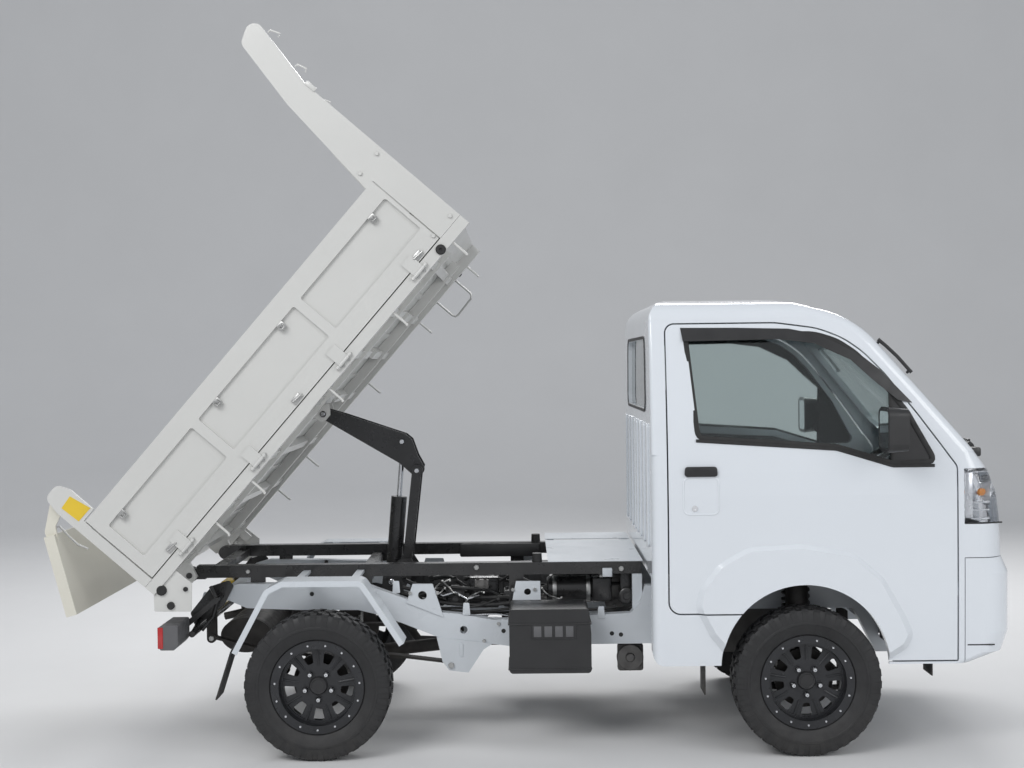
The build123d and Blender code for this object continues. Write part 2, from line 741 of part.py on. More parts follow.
# bracket outline, side plates hung below or above the rail, with a drilled hole
BRACKETS = (
    (((446, 418), (469, 318), (497, 281), (575, 272), (638, 366), (676, 390)), (557, 446, 16)),
    (((324, 560), (350, 637), (432, 636), (476, 500)), (390, 590, 18)),
    (((739, 470), (773, 644), (872, 643), (875, 470)), (820, 600, 14)),
    (((-520, 566), (-505, 612), (-400, 612), (-400, 580)), (-480, 590, 9)),
)
with BuildPart() as chassis_frame:
    for hand in SIDES.values():
        add(slab(side(hand * FRAME_INNER), -hand * 50, *FRAME_SIDE))
        for points, hole in BRACKETS:
            add(slab(side(hand * (FRAME_OUTER - 6)), -hand * 12, *points))
        add(slab(side(hand * FRAME_INNER), -hand * 30, (1250, 500), (1250, 664.7),
                 (1290, 664.7), (1290, 560)))
        with BuildSketch(side(hand * 380)):
            for points, (x, z, hole) in BRACKETS[1:]:
                with Locations((x, z)):
                    Circle(hole)
        extrude(amount=-hand * 30, mode=Mode.SUBTRACT)
    for x, low, high in FRAME_CROSS:
        add(slab(side(FRAME_INNER - SEAT_GAP), 2 * (FRAME_INNER - SEAT_GAP), (x, low),
                 (x + 50, low), (x + 50, high), (x, high)))
    through_x, through_z, through_r = BRACKETS[0][1]
    with BuildSketch(side(5 - FRAME_INNER)):
        with Locations((through_x, through_z)):
            Circle(through_r)
    extrude(amount=FRAME_OUTER - FRAME_INNER + 30, mode=Mode.SUBTRACT)
    for low_y, high_y in ((-SUBFRAME_OUTER, SUBFRAME_OUTER), (402, 640)):
        add(slab(side(high_y), high_y - low_y, (DECK_REAR, SUBFRAME_TOP + SEAT_GAP),
                 (CAB_BACK - 8, SUBFRAME_TOP + SEAT_GAP), (CAB_BACK - 8, SUBFRAME_TOP + 3),
                 (DECK_REAR, SUBFRAME_TOP + 3)))
    for x in (DECK_REAR + 10, CAB_BACK - 48):
        add(slab(side(420), 420 - SUBFRAME_OUTER - SEAT_GAP, (x, SUBFRAME_TOP - 22),
                 (x + 30, SUBFRAME_TOP - 22), (x + 30, SUBFRAME_TOP - 10), (x, SUBFRAME_TOP - 10)))
        add(slab(side(640), 235, (x, SUBFRAME_TOP - 22), (x + 30, SUBFRAME_TOP - 22),
                 (x + 30, SUBFRAME_TOP + 1), (x, SUBFRAME_TOP + 1)))
save(chassis_frame.part, "chassis_frame")

# station of each spacer between frame and subframe, and the height it stands on
SPACERS = ((-320, 645.3), (120, 633), (745, 491))
with BuildPart() as hoist_subframe:
    for hand in SIDES.values():
        add(slab(side(hand * SUBFRAME_INNER), -hand * (SUBFRAME_OUTER - SUBFRAME_INNER),
                 (SUBFRAME_TAIL, SUBFRAME_TOP - SUBFRAME_DEPTH),
                 (SUBFRAME_FRONT, SUBFRAME_TOP - SUBFRAME_DEPTH),
                 (SUBFRAME_FRONT, SUBFRAME_TOP), (SUBFRAME_TAIL, SUBFRAME_TOP)))
        with BuildSketch(side(hand * 326)):
            with Locations((HINGE_X, HINGE_Z)):
                Circle(30)
            with Locations((HINGE_X + 30, HINGE_Z + 2)):
                Rectangle(60, 44)
        extrude(amount=-hand * 34)
        with BuildSketch(side(hand * 330)):
            with Locations((HINGE_X, HINGE_Z)):
                Circle(HINGE_PIN)
        extrude(amount=-hand * 66)
        for x, seat in SPACERS:
            add(slab(side(hand * FRAME_INNER), -hand * (SUBFRAME_OUTER - FRAME_INNER),
                     (x, seat), (x + 60, seat), (x + 60, 670), (x, 670)))
        add(slab(side(hand * FOOT_PLATE[0]), -hand * (FOOT_PLATE[1] - FOOT_PLATE[0]),
                 (190, 560), (285, 560), (345, 660), (320, 700), (280, 700), (200, 640)))
    for x, low, high in ((-500, 667, 698), (1230, 667, 698)):
        add(slab(side(SUBFRAME_INNER - SEAT_GAP), 2 * (SUBFRAME_INNER - SEAT_GAP), (x, low),
                 (x + 50, low), (x + 50, high), (x, high)))
    with BuildSketch(side(SUBFRAME_INNER - SEAT_GAP)):
        with Locations((140, 650)):
            Rectangle(40, 60)
    extrude(amount=2 * (SUBFRAME_INNER - SEAT_GAP))
    with BuildSketch(side(FOOT_PLATE[1])):
        with Locations(CYLINDER_FOOT):
            Circle(14)
    extrude(amount=2 * FOOT_PLATE[1])
    for hand in SIDES.values():
        with BuildSketch(side(hand * (LINK_PLATE[0] - 5))):
            with Locations(LINK_FOOT):
                Circle(14)
        extrude(amount=-hand * (FOOT_PLATE[1] - LINK_PLATE[0] + 5))
        add(slab(side(hand * (FRAME_OUTER + 6 + SEAT_GAP)),
                 -hand * (TAIL_LAMP_INNER - FRAME_OUTER - 6 - 2 * SEAT_GAP), (-560, 480),
                 (-425, 590), (-425, 604), (-440, 604), (-575, 496)))
save(hoist_subframe.part, "hoist_subframe")

with BuildPart() as bed_stops:
    for hand in SIDES.values():
        with BuildSketch(level(SUBFRAME_TOP)):
            with Locations((STOP_X, hand * 335)):
                Circle(21)
        extrude(amount=STOP_TOP - SUBFRAME_TOP, taper=3)
save(bed_stops.part, "bed_stops")


# Axles, springs and the steered knuckles

def hub_profile(inner, drum_inner, drum_outer, drum_radius):
    """Half section of a hub with its drum or disc, as distance out and radius."""
    pad = TRACK / 2 + WHEEL_PAD - SEAT_GAP
    return ((inner, 0), (inner, 46), (drum_inner, 46), (drum_inner, drum_radius),
            (drum_outer, drum_radius), (drum_outer, 62), (pad, 62),
            (pad, HUB_BORE - SEAT_GAP), (pad + 9, HUB_BORE - SEAT_GAP), (pad + 9, 0))


def hub(hand, axle, *profile):
    """Turned hub about a wheel's axis."""
    with BuildPart() as turned:
        with BuildSketch(across(axle)):
            outline(*[(hand * y, TYRE_RADIUS + r) for y, r in profile])
        revolve(axis=Axis((AXLE_X + axle, 0, TYRE_RADIUS), (0, 1, 0)))
    return turned.part


with BuildPart() as rear_axle:
    with BuildSketch(side(570)):
        with Locations((0, TYRE_RADIUS)):
            Circle(AXLE_TUBE)
    extrude(amount=1140)
    with BuildSketch(across(0)):
        outline((-75, TYRE_RADIUS), (-75, TYRE_RADIUS + 70), (-45, TYRE_RADIUS + 104),
                (45, TYRE_RADIUS + 104), (75, TYRE_RADIUS + 70), (75, TYRE_RADIUS))
    revolve(axis=Axis((AXLE_X, 0, TYRE_RADIUS), (0, 1, 0)))
    with BuildSketch(across(0)):
        with Locations((0, TYRE_RADIUS)):
            Circle(52)
    extrude(amount=165)
    for hand in SIDES.values():
        add(hub(hand, 0, *hub_profile(540, 560, 600, DRUM)))
save(rear_axle.part, "rear_axle")

with BuildPart() as leaf_springs:
    for hand in SIDES.values():
        (front_x, front_z), (rear_x, rear_z) = SPRING_EYES
        with BuildSketch(side(hand * 341)):
            ribbon((rear_x, rear_z), (-300, SPRING_SEAT + 25), (0, SPRING_SEAT - 10),
                   (260, SPRING_SEAT - 8), (front_x, front_z), thickness=9, radius=300)
            ribbon((-330, SPRING_SEAT + 22), (0, SPRING_SEAT - 11), (300, SPRING_SEAT - 17),
                   thickness=-8, radius=300)
            for x, z in SPRING_EYES:
                with Locations((x, z)):
                    Circle(19)
        extrude(amount=-hand * 44)
        add(slab(side(hand * 346), -hand * 34, (-500, 410), (-462, 410), (-462, 585),
                 (-500, 585), radius=16))
        add(slab(side(hand * 341), -hand * 44, (-45, SPRING_SEAT - 6), (45, SPRING_SEAT - 6),
                 (45, SPRING_SEAT + 24), (-45, SPRING_SEAT + 24)))
save(leaf_springs.part, "leaf_springs")


def kingpin(hand, z):
    """Plane square to a steered wheel's kingpin at a height."""
    (low_y, low_z), (high_y, high_z) = KINGPIN_LOW, KINGPIN_HIGH
    lean = (high_y - low_y) / (high_z - low_z)
    return Plane(origin=(AXLE_X + WHEELBASE, hand * (low_y + (z - low_z) * lean), z),
                 x_dir=(1, 0, 0), z_dir=(0, hand * lean, 1))


with BuildPart() as front_suspension:
    for hand in SIDES.values():
        with BuildSketch(kingpin(hand, STRUT_TOP + 3)):
            Circle(46)
            Circle(38, mode=Mode.SUBTRACT)
        extrude(amount=SPRING_TOP - STRUT_TOP - 3)
        with BuildSketch(kingpin(hand, SPRING_TOP - 2)):
            Rectangle(150, 120)
        extrude(amount=12)
        with BuildSketch(level(183)):
            with Locations((WHEELBASE, hand * 460)):
                Rectangle(60, 250)
            with Locations((WHEELBASE + 130, hand * 370)):
                Rectangle(260, 40)
            with Locations((WHEELBASE, hand * 585)):
                Circle(24)
        extrude(amount=14)
    with BuildSketch(side(400)):
        with Locations((WHEELBASE - 30, 240)):
            Rectangle(60, 40)
        with Locations((WHEELBASE + 200, 240)):
            Circle(12)
    extrude(amount=800)
    for hand in SIDES.values():
        add(slab(side(hand * 340), -hand * 40, (WHEELBASE - 60, 197), (WHEELBASE, 197),
                 (WHEELBASE, 515), (WHEELBASE - 60, 515)))
        add(slab(side(hand * 340), -hand * 40, (WHEELBASE + 190, 180), (WHEELBASE + 230, 180),
                 (WHEELBASE + 230, 505), (WHEELBASE + 190, 519)))
save(front_suspension.part, "front_suspension")

for name, hand in SIDES.items():
    with BuildPart() as knuckle:
        add(hub(hand, WHEELBASE, *hub_profile(545, 616, 628, 115)))
        with BuildSketch(kingpin(hand, 205)):
            Circle(22)
        extrude(amount=34)
        with BuildSketch(kingpin(hand, 330)):
            Circle(24)
        extrude(amount=STRUT_TOP - 330)
        add(slab(side(hand * 530), -hand * 30, (WHEELBASE - 22, 205), (WHEELBASE + 22, 205),
                 (WHEELBASE + 34, 295), (WHEELBASE + 22, 400), (WHEELBASE - 22, 400),
                 (WHEELBASE - 34, 295)))
        add(slab(side(hand * 545), -hand * 30, (WHEELBASE - 130, 232), (WHEELBASE, 226),
                 (WHEELBASE, 260), (WHEELBASE - 130, 252)))
        with BuildSketch(across(WHEELBASE + 20)):
            outline((hand * 530, 210), (hand * 600, 210), (hand * 600, 236), (hand * 560, 260),
                    (hand * 530, 260))
        extrude(amount=-40)
    save(knuckle.part, f"knuckle_{name}")


# Engine and the units hung on the frame

with BuildPart() as engine_block:
    add(slab(side(230), 460, (1480, 320), (1880, 300), (1900, 560), (1850, 640), (1500, 620),
             radius=30))
    add(slab(side(120), 240, (1150, 330), (1480, 340), (1480, 520), (1300, 500), (1150, 440),
             radius=20))
save(engine_block.part, "engine_block")

with BuildPart() as propeller_shaft:
    add(rod_between((170, TYRE_RADIUS), (1144, 385), 28))
save(propeller_shaft.part, "propeller_shaft")

with BuildPart() as fuel_tank:
    add(slab(side(405), -235, (700, 300), (1200, 300), (1200, 480), (1160, 490), (700, 490),
             radius=28))
save(fuel_tank.part, "fuel_tank")

with BuildPart() as battery_box:
    add(slab(side(-405), 235, (746, 316), (1068, 316), (1068, 470), (1060, 568), (746, 568),
             radius=14))
save(battery_box.part, "battery_box")

with BuildPart() as muffler:
    with BuildSketch(side(320)):
        with Locations((-350, 420)):
            Ellipse(105, 72)
    extrude(amount=640)
save(muffler.part, "muffler")

FENDER = ((336, 450), (213, 640), (175, 695), (-140, 696), (-205, 664), (-336, 420))
FENDER_INNER = 560
FENDER_OUTER = 690
FENDER_STAYS = (-100, 120)
with BuildPart() as rear_fenders:
    for hand in SIDES.values():
        with BuildSketch(side(hand * FENDER_INNER)):
            ribbon(*FENDER, thickness=4, radius=34)
        extrude(amount=-hand * (FENDER_OUTER - FENDER_INNER))
        with BuildSketch(side(hand * (FENDER_OUTER - 4))):
            ribbon(*FENDER, thickness=22, radius=34)
        extrude(amount=-hand * 4)
        for x in FENDER_STAYS:
            add(slab(side(hand * (SUBFRAME_OUTER + SEAT_GAP)),
                     -hand * (FENDER_INNER + 60 - SUBFRAME_OUTER), (x, 682), (x + 30, 682),
                     (x + 30, 693), (x, 693)))
save(rear_fenders.part, "rear_fenders")

with BuildPart() as mud_flaps:
    for hand in SIDES.values():
        add(slab(side(hand * FENDER_INNER), -hand * (FENDER_OUTER - FENDER_INNER),
                 (-322.6, 447), (-336.8, 420.4), (-396, 236), (-402, 238), (-342, 423),
                 (-327.5, 449.8)))
save(mud_flaps.part, "mud_flaps")

with BuildPart() as tail_lamps:
    for hand in SIDES.values():
        add(slab(side(hand * TAIL_LAMP_INNER), -hand * 200, (-616, 432), (-560, 432),
                 (-545, 450), (-545, 528), (-616, 528), radius=8))
save(tail_lamps.part, "tail_lamps")


# Dump bed

def bed_slab(inner, depth, *points, radius=0, hand=1):
    """Plate in the bed's side plane, from a half width outward on one hand."""
    return slab(bed_side(hand * inner), -hand * depth, *points, radius=radius)


SIDE_HINGES = (170, 600, 1110, 1560)

with BuildPart() as bed_floor:
    with BuildSketch(bed_across(BED_REAR)):
        outline((0, FLOOR_TOP - 2), (688, FLOOR_TOP - 2), (688, RAIL_BOTTOM),
                (BED_HALF, RAIL_BOTTOM), (BED_HALF, 73), (694, 73), (694, FLOOR_TOP + 4),
                (0, FLOOR_TOP + 4))
        mirror(about=Plane.YZ)
    extrude(amount=BED_FRONT - BED_REAR)
    for hand in SIDES.values():
        for u in SIDE_HINGES:
            for end in (-40, 28):
                with BuildSketch(bed_across(u + end)):
                    with Locations((hand * SIDE_HINGE_HALF, SIDE_HINGE_V)):
                        Circle(7)
                    with Locations((hand * (BED_HALF + 3), SIDE_HINGE_V)):
                        Rectangle(8, 12)
                extrude(amount=12)
save(bed_floor.part, "bed_floor")

# station of each cross member, and how far in from the side it reaches
BED_CROSS = ((60, 0), (330, 0), (600, 0), (880, 92), (1130, 92), (1350, 92), (1600, 0))
with BuildPart() as bed_underframe:
    for hand in SIDES.values():
        add(bed_slab(366, 30, (-40, 32), (1700, 32), (1700, 75), (-40, 75), hand=hand))
        with BuildSketch(bed_side(hand * 366)):
            outline((-34, 40), (-34, -6), (-16, -28), (16, -28), (44, 40))
        extrude(amount=-hand * 26)
        for u, inner in BED_CROSS:
            for low, high in ((inner, 366 - SEAT_GAP), (396 + SEAT_GAP, 687)):
                add(bed_slab(low, high - low, (u, 43), (u + 40, 43), (u + 40, 75), (u, 75),
                             hand=hand))
        add(bed_slab(54, 10, (788, 75), (790, 24), (806, 10), (840, 10), (856, 24), (882, 60),
                     (882, 75), hand=hand))
        add(bed_slab(54, 40, (880, 43), (892, 43), (892, 75), (880, 75), hand=hand))
        with BuildSketch(bed_side(hand * 360)):
            Circle(HINGE_PIN + PIN_GAP)
        extrude(amount=-hand * 50, mode=Mode.SUBTRACT)
    with BuildSketch(side(80)):
        with Locations(BED_PIN):
            Circle(13 + PIN_GAP)
    extrude(amount=160, mode=Mode.SUBTRACT)
save(bed_underframe.part, "bed_underframe")

GUARD_WING = ((1670, BED_TOP + 1), (1722, 857), (1784, 1143), (1860, 1172), (1889, 1139),
              (BED_FRONT, 860), (BED_FRONT, BED_TOP + 1))
GUARD_SHEET = 6
with BuildPart() as bed_headboard:
    for hand in SIDES.values():
        add(bed_slab(696, BED_HALF - 696, (POST_REAR, 74), (BED_FRONT, 74), (BED_FRONT, BED_TOP),
                     (POST_REAR, BED_TOP), hand=hand))
        add(bed_slab(685, 37, (POST_REAR + 6, 82), (1800, 82), (1800, BED_TOP - 6),
                     (POST_REAR + 6, BED_TOP - 6), hand=hand), mode=Mode.SUBTRACT)
        add(bed_slab(BED_HALF - GUARD_SHEET, GUARD_SHEET, (1670, BED_TOP), *GUARD_WING[1:-1],
                     (BED_FRONT, BED_TOP), radius=[1, 1, 34, 34, 30, 1, 1], hand=hand))
    add(bed_slab(-696, 1392, (1804, 83), (BED_FRONT, 83), (BED_FRONT, BED_TOP), (1804, BED_TOP)))
    with BuildSketch(bed_side(BED_HALF - 2)):
        ribbon((BED_FRONT, BED_TOP - 10), (BED_FRONT, 860), (1884, 1116), thickness=GUARD_SHEET,
               radius=60)
    extrude(amount=2 * BED_HALF - 4)
    with BuildSketch(bed_across(1790)):
        with Locations((0, 790)):
            RectangleRounded(1060, 330, 40)
    extrude(amount=120, mode=Mode.SUBTRACT)
save(bed_headboard.part, "bed_headboard")

REAR_ARM = ((BED_REAR, 380), (BED_REAR, 520), (-44, 592), (24, 592), (44, 540), (44, 421),
            (-14, 421), (-14, 380))
with BuildPart() as bed_rear_posts:
    for hand in SIDES.values():
        add(bed_slab(696, BED_HALF - 696, (BED_REAR, 74), (-16, 74), (-16, BED_TOP),
                     (BED_REAR, BED_TOP), hand=hand))
        add(bed_slab(BED_HALF - 14, 14, *REAR_ARM, radius=[2, 40, 30, 30, 20, 4, 4, 2], hand=hand))
        with BuildSketch(bed_side(hand * 694)):
            with Locations((GATE_PIVOT_U, GATE_PIVOT_V)):
                Circle(10)
        extrude(amount=-hand * (BED_HALF - 700))
save(bed_rear_posts.part, "bed_rear_posts")

# station range of each panel between the ribs of a side gate
SIDE_PANELS = ((34, 533), (573, 1145), (1185, 1690))
for name, hand in SIDES.items():
    with BuildPart() as side_gate:
        add(bed_slab(BED_HALF - GATE_THICK, GATE_THICK, (-10, FLOOR_TOP), (POST_REAR - 5, FLOOR_TOP),
                     (POST_REAR - 5, BED_TOP), (-10, BED_TOP), hand=hand))
        for low, high in SIDE_PANELS:
            add(bed_slab(BED_HALF - 12, 20, (low, PANEL_BOTTOM), (high, PANEL_BOTTOM),
                         (high, BED_TOP - TOP_RAIL), (low, BED_TOP - TOP_RAIL), radius=10,
                         hand=hand), mode=Mode.SUBTRACT)
        for u in SIDE_HINGES:
            with BuildSketch(bed_across(u - 26)):
                with Locations((hand * SIDE_HINGE_HALF, SIDE_HINGE_V)):
                    Circle(7)
                outline((hand * (SIDE_HINGE_HALF - 7), SIDE_HINGE_V),
                        (hand * SIDE_HINGE_HALF, SIDE_HINGE_V), (hand * SIDE_HINGE_HALF, 120),
                        (hand * (BED_HALF - 2), 120), (hand * (BED_HALF - 2), 82),
                        (hand * (SIDE_HINGE_HALF - 7), 78))
            extrude(amount=52)
    save(side_gate.part, f"side_gate_{name}")

with BuildPart() as tailgate:
    with BuildSketch(gate_across(-TAIL_OFFSET - TAIL_THICK)):
        outline((-BED_HALF, -TAIL_DROP_END), (BED_HALF, -TAIL_DROP_END),
                (BED_HALF, -TAIL_DROP_TOP), (-BED_HALF, -TAIL_DROP_TOP))
    extrude(amount=TAIL_THICK)
    with BuildSketch(gate_across(-TAIL_OFFSET - TAIL_THICK)):
        for low, high in ((-698, -250), (-220, 220), (250, 698)):
            outline((low, 34 - TAIL_DROP_END), (high, 34 - TAIL_DROP_END),
                    (high, -TAIL_DROP_TOP - 34), (low, -TAIL_DROP_TOP - 34))
    extrude(amount=TAIL_THICK - GATE_SKIN, mode=Mode.SUBTRACT)
    for hand in SIDES.values():
        add(slab(gate_side(hand * 696), -hand * 10, (-22, 22), (22, 22), (22, -30),
                 (-TAIL_OFFSET + 6, -TAIL_DROP_TOP + 30), (-TAIL_OFFSET + 2, -TAIL_DROP_TOP - 30),
                 (-TAIL_OFFSET - 40, -TAIL_DROP_TOP - 30), (-TAIL_OFFSET - 40, -TAIL_DROP_TOP + 20),
                 radius=[20, 20, 10, 10, 1, 1, 20]))
        with BuildSketch(gate_side(hand * 690)):
            Circle(10 + PIN_GAP)
        extrude(amount=-hand * 24, mode=Mode.SUBTRACT)
save(tailgate.part, "tailgate")


# Hoist linkage

ARM_OUTLINE = ((-84, 1338), (-53, 1351), (38, 1324), (301, 1234), (327, 1212), (352, 1142),
               (378, 1094), (360, 1050), (321, 1065), (274, 1108), (-41, 1294), (-80, 1310))
arm_low, arm_high = ARM_PLATE
with BuildPart() as lift_arm:
    for hand in SIDES.values():
        add(slab(side(hand * arm_low), -hand * (arm_high - arm_low), *ARM_OUTLINE, radius=9))
        with BuildSketch(side(hand * 18)):
            with Locations(ROD_PIN):
                Circle(15)
        extrude(amount=-hand * (arm_high - 18))
        with BuildSketch(side(hand * 10)):
            with Locations(BED_PIN):
                Circle(13)
        extrude(amount=-hand * 58)
    with BuildSketch(side(arm_high)):
        with Locations(LINK_PIN):
            Circle(16)
    extrude(amount=2 * arm_high)
    with BuildSketch(side(arm_high)):
        with Locations(BED_PIN):
            Circle(20)
    extrude(amount=2 * arm_high)
save(lift_arm.part, "lift_arm")

link_low, link_high = LINK_PLATE
with BuildPart() as tension_link:
    for hand in SIDES.values():
        with BuildSketch(side(hand * link_low)):
            for pin in (LINK_PIN, LINK_FOOT):
                with Locations(pin):
                    Circle(26)
            outline((LINK_FOOT[0] - 20, LINK_FOOT[1]), (LINK_FOOT[0] + 20, LINK_FOOT[1]),
                    (LINK_PIN[0] + 20, LINK_PIN[1]), (LINK_PIN[0] - 20, LINK_PIN[1]))
        extrude(amount=-hand * (link_high - link_low))
        with BuildSketch(side(hand * (arm_high + 4))):
            with Locations(LINK_PIN):
                Circle(20)
        extrude(amount=-hand * (link_high - arm_high))
        with BuildSketch(side(hand * (link_low - 2))):
            with Locations(LINK_FOOT):
                Circle(14 + PIN_GAP)
        extrude(amount=-hand * 20, mode=Mode.SUBTRACT)
save(tension_link.part, "tension_link")

stroke_x = ROD_PIN[0] - CYLINDER_FOOT[0]
stroke_z = ROD_PIN[1] - CYLINDER_FOOT[1]
STROKE_RUN = hypot(stroke_x, stroke_z)
STROKE = Vector(stroke_x / STROKE_RUN, 0, stroke_z / STROKE_RUN)


def along_stroke(distance):
    """Plane square to the cylinder at a distance from its foot."""
    return Plane(origin=(AXLE_X + CYLINDER_FOOT[0] + STROKE.X * distance, 0,
                         CYLINDER_FOOT[1] + STROKE.Z * distance), z_dir=STROKE)


with BuildPart() as cylinder_barrel:
    with BuildSketch(along_stroke(24)):
        Circle(BARREL_RADIUS)
    extrude(amount=BARREL_LENGTH - 24)
    with BuildSketch(along_stroke(44)):
        Circle(BARREL_BORE)
    extrude(amount=BARREL_LENGTH - 60, mode=Mode.SUBTRACT)
    with BuildSketch(along_stroke(BARREL_LENGTH - 30)):
        Circle(ROD_RADIUS + 0.5)
    extrude(amount=40, mode=Mode.SUBTRACT)
    with BuildSketch(side(BARREL_RADIUS)):
        with Locations(CYLINDER_FOOT):
            Circle(28)
    extrude(amount=2 * BARREL_RADIUS)
    with BuildSketch(side(BARREL_RADIUS)):
        with Locations(CYLINDER_FOOT):
            Circle(14 + PIN_GAP)
    extrude(amount=2 * BARREL_RADIUS, mode=Mode.SUBTRACT)
save(cylinder_barrel.part, "cylinder_barrel")

ROD_TAIL = BARREL_LENGTH - ROD_INSIDE
with BuildPart() as cylinder_rod:
    with BuildSketch(along_stroke(ROD_TAIL)):
        Circle(BARREL_BORE - 0.5)
    extrude(amount=24)
    with BuildSketch(along_stroke(ROD_TAIL)):
        Circle(ROD_RADIUS)
    extrude(amount=STROKE_RUN - ROD_TAIL - 20)
    with BuildSketch(side(14)):
        with Locations(ROD_PIN):
            Circle(26)
    extrude(amount=28)
save(cylinder_rod.part, "cylinder_rod")
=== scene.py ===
"""Looks of the light dump truck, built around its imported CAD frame.

The scene is in metres; pieces are drawn in millimetres, in the truck's, bed's or gate's frame.
"""

from math import cos, hypot, pi, radians, sin, sqrt

import bmesh
import bpy
from mathutils import Matrix, Vector


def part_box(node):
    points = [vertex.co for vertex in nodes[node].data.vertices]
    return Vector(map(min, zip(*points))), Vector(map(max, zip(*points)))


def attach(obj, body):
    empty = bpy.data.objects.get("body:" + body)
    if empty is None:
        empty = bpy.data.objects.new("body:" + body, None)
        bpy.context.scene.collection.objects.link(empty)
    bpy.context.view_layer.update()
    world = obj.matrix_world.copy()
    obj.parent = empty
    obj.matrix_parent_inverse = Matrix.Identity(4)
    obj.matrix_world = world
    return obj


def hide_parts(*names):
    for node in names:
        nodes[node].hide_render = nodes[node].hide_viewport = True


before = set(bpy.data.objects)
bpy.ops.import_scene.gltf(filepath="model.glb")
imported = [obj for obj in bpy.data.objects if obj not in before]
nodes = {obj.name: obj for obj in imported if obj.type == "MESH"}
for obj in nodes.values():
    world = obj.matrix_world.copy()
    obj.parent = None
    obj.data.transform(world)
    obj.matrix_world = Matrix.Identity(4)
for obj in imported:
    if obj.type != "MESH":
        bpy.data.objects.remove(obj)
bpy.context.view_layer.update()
scene = bpy.context.scene

rim_low, rim_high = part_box("rim_rear_right")
AXLE_X = (rim_low.x + rim_high.x) / 2

# Sizes shared with the CAD part, in millimetres
WHEELBASE = 1900
TRACK = 1305
TYRE_RADIUS = (rim_low.z + rim_high.z) * 500
BED_TILT = 49
HINGE = (-566, 680)
GATE_LEAN = 15
GATE_PIVOT = (-10, 558)
RING_BOLT_CIRCLE = 165.5
NUT_CIRCLE = 54
SEAT_MIDDLE = 320
BELT_HALF = 588
NOSE_REACH = 2735
NOSE_BOW = 6000

MM = Matrix.Scale(0.001, 4)
tilt = radians(BED_TILT)
lean = radians(GATE_LEAN)


def columns(origin, x_axis, y_axis, z_axis):
    """Matrix from local millimetres to the truck's metres."""
    turn = Matrix((x_axis, y_axis, z_axis)).transposed().to_4x4()
    return Matrix.Translation(origin) @ turn @ MM


TRUCK = columns((AXLE_X, 0, 0), (1, 0, 0), (0, 1, 0), (0, 0, 1))
BED = columns((AXLE_X + HINGE[0] / 1000, 0, HINGE[1] / 1000),
              (cos(tilt), 0, sin(tilt)), (0, 1, 0), (-sin(tilt), 0, cos(tilt)))
GATE = columns(BED @ Vector((GATE_PIVOT[0], 0, GATE_PIVOT[1])),
               (cos(lean), 0, sin(lean)), (0, 1, 0), (-sin(lean), 0, cos(lean)))


# Materials

def put(made, values):
    """Set a shader node's sockets from a dictionary."""
    for socket, value in values.items():
        made.inputs[socket].default_value = value
    return made


def blank(colour, values):
    """New material of a colour, with its tree and its shader."""
    material = bpy.data.materials.new("finish")
    material.use_nodes = True
    tree = material.node_tree
    shader = next(n for n in tree.nodes if n.type == "BSDF_PRINCIPLED")
    return material, tree, put(shader, {"Base Color": (*colour, 1), **values})


def node(tree, kind, values=None):
    """New shader node, its sockets set from a dictionary."""
    return put(tree.nodes.new("ShaderNode" + kind), values or {})


def link(tree, source, output, target, socket):
    """Wire between two shader nodes."""
    tree.links.new(source.outputs[output], target.inputs[socket])


def spot_noise(tree, scale, detail=4.0):
    """Noise over the truck's own coordinates."""
    noise = node(tree, "TexNoise", {"Scale": scale, "Detail": detail, "Roughness": 0.55})
    link(tree, node(tree, "TexCoord"), "Object", noise, "Vector")
    return noise


def ranged(tree, source, output, low, high, start=0.3, end=0.7):
    """A value carried from one range to another."""
    made = node(tree, "MapRange", {"From Min": start, "From Max": end, "To Min": low,
                                   "To Max": high})
    link(tree, source, output, made, "Value")
    return made


def mixed(tree, factor, output, first, second):
    """Colour mix; first is a colour or a mix, second a colour."""
    mix = tree.nodes.new("ShaderNodeMix")
    mix.data_type = "RGBA"
    if isinstance(first, tuple):
        mix.inputs[6].default_value = (*first, 1)
    else:
        tree.links.new(first.outputs[2], mix.inputs[6])
    mix.inputs[7].default_value = (*second, 1)
    tree.links.new(factor.outputs[output], mix.inputs[0])
    return mix


def dull(colour, amount):
    """Colour at a share of its brightness."""
    return tuple(c * amount for c in colour)


def relief(tree, scale, detail, strength):
    """Bump from noise."""
    bump = node(tree, "Bump", {"Strength": strength, "Distance": 0.002})
    link(tree, spot_noise(tree, scale, detail), "Fac", bump, "Height")
    return bump


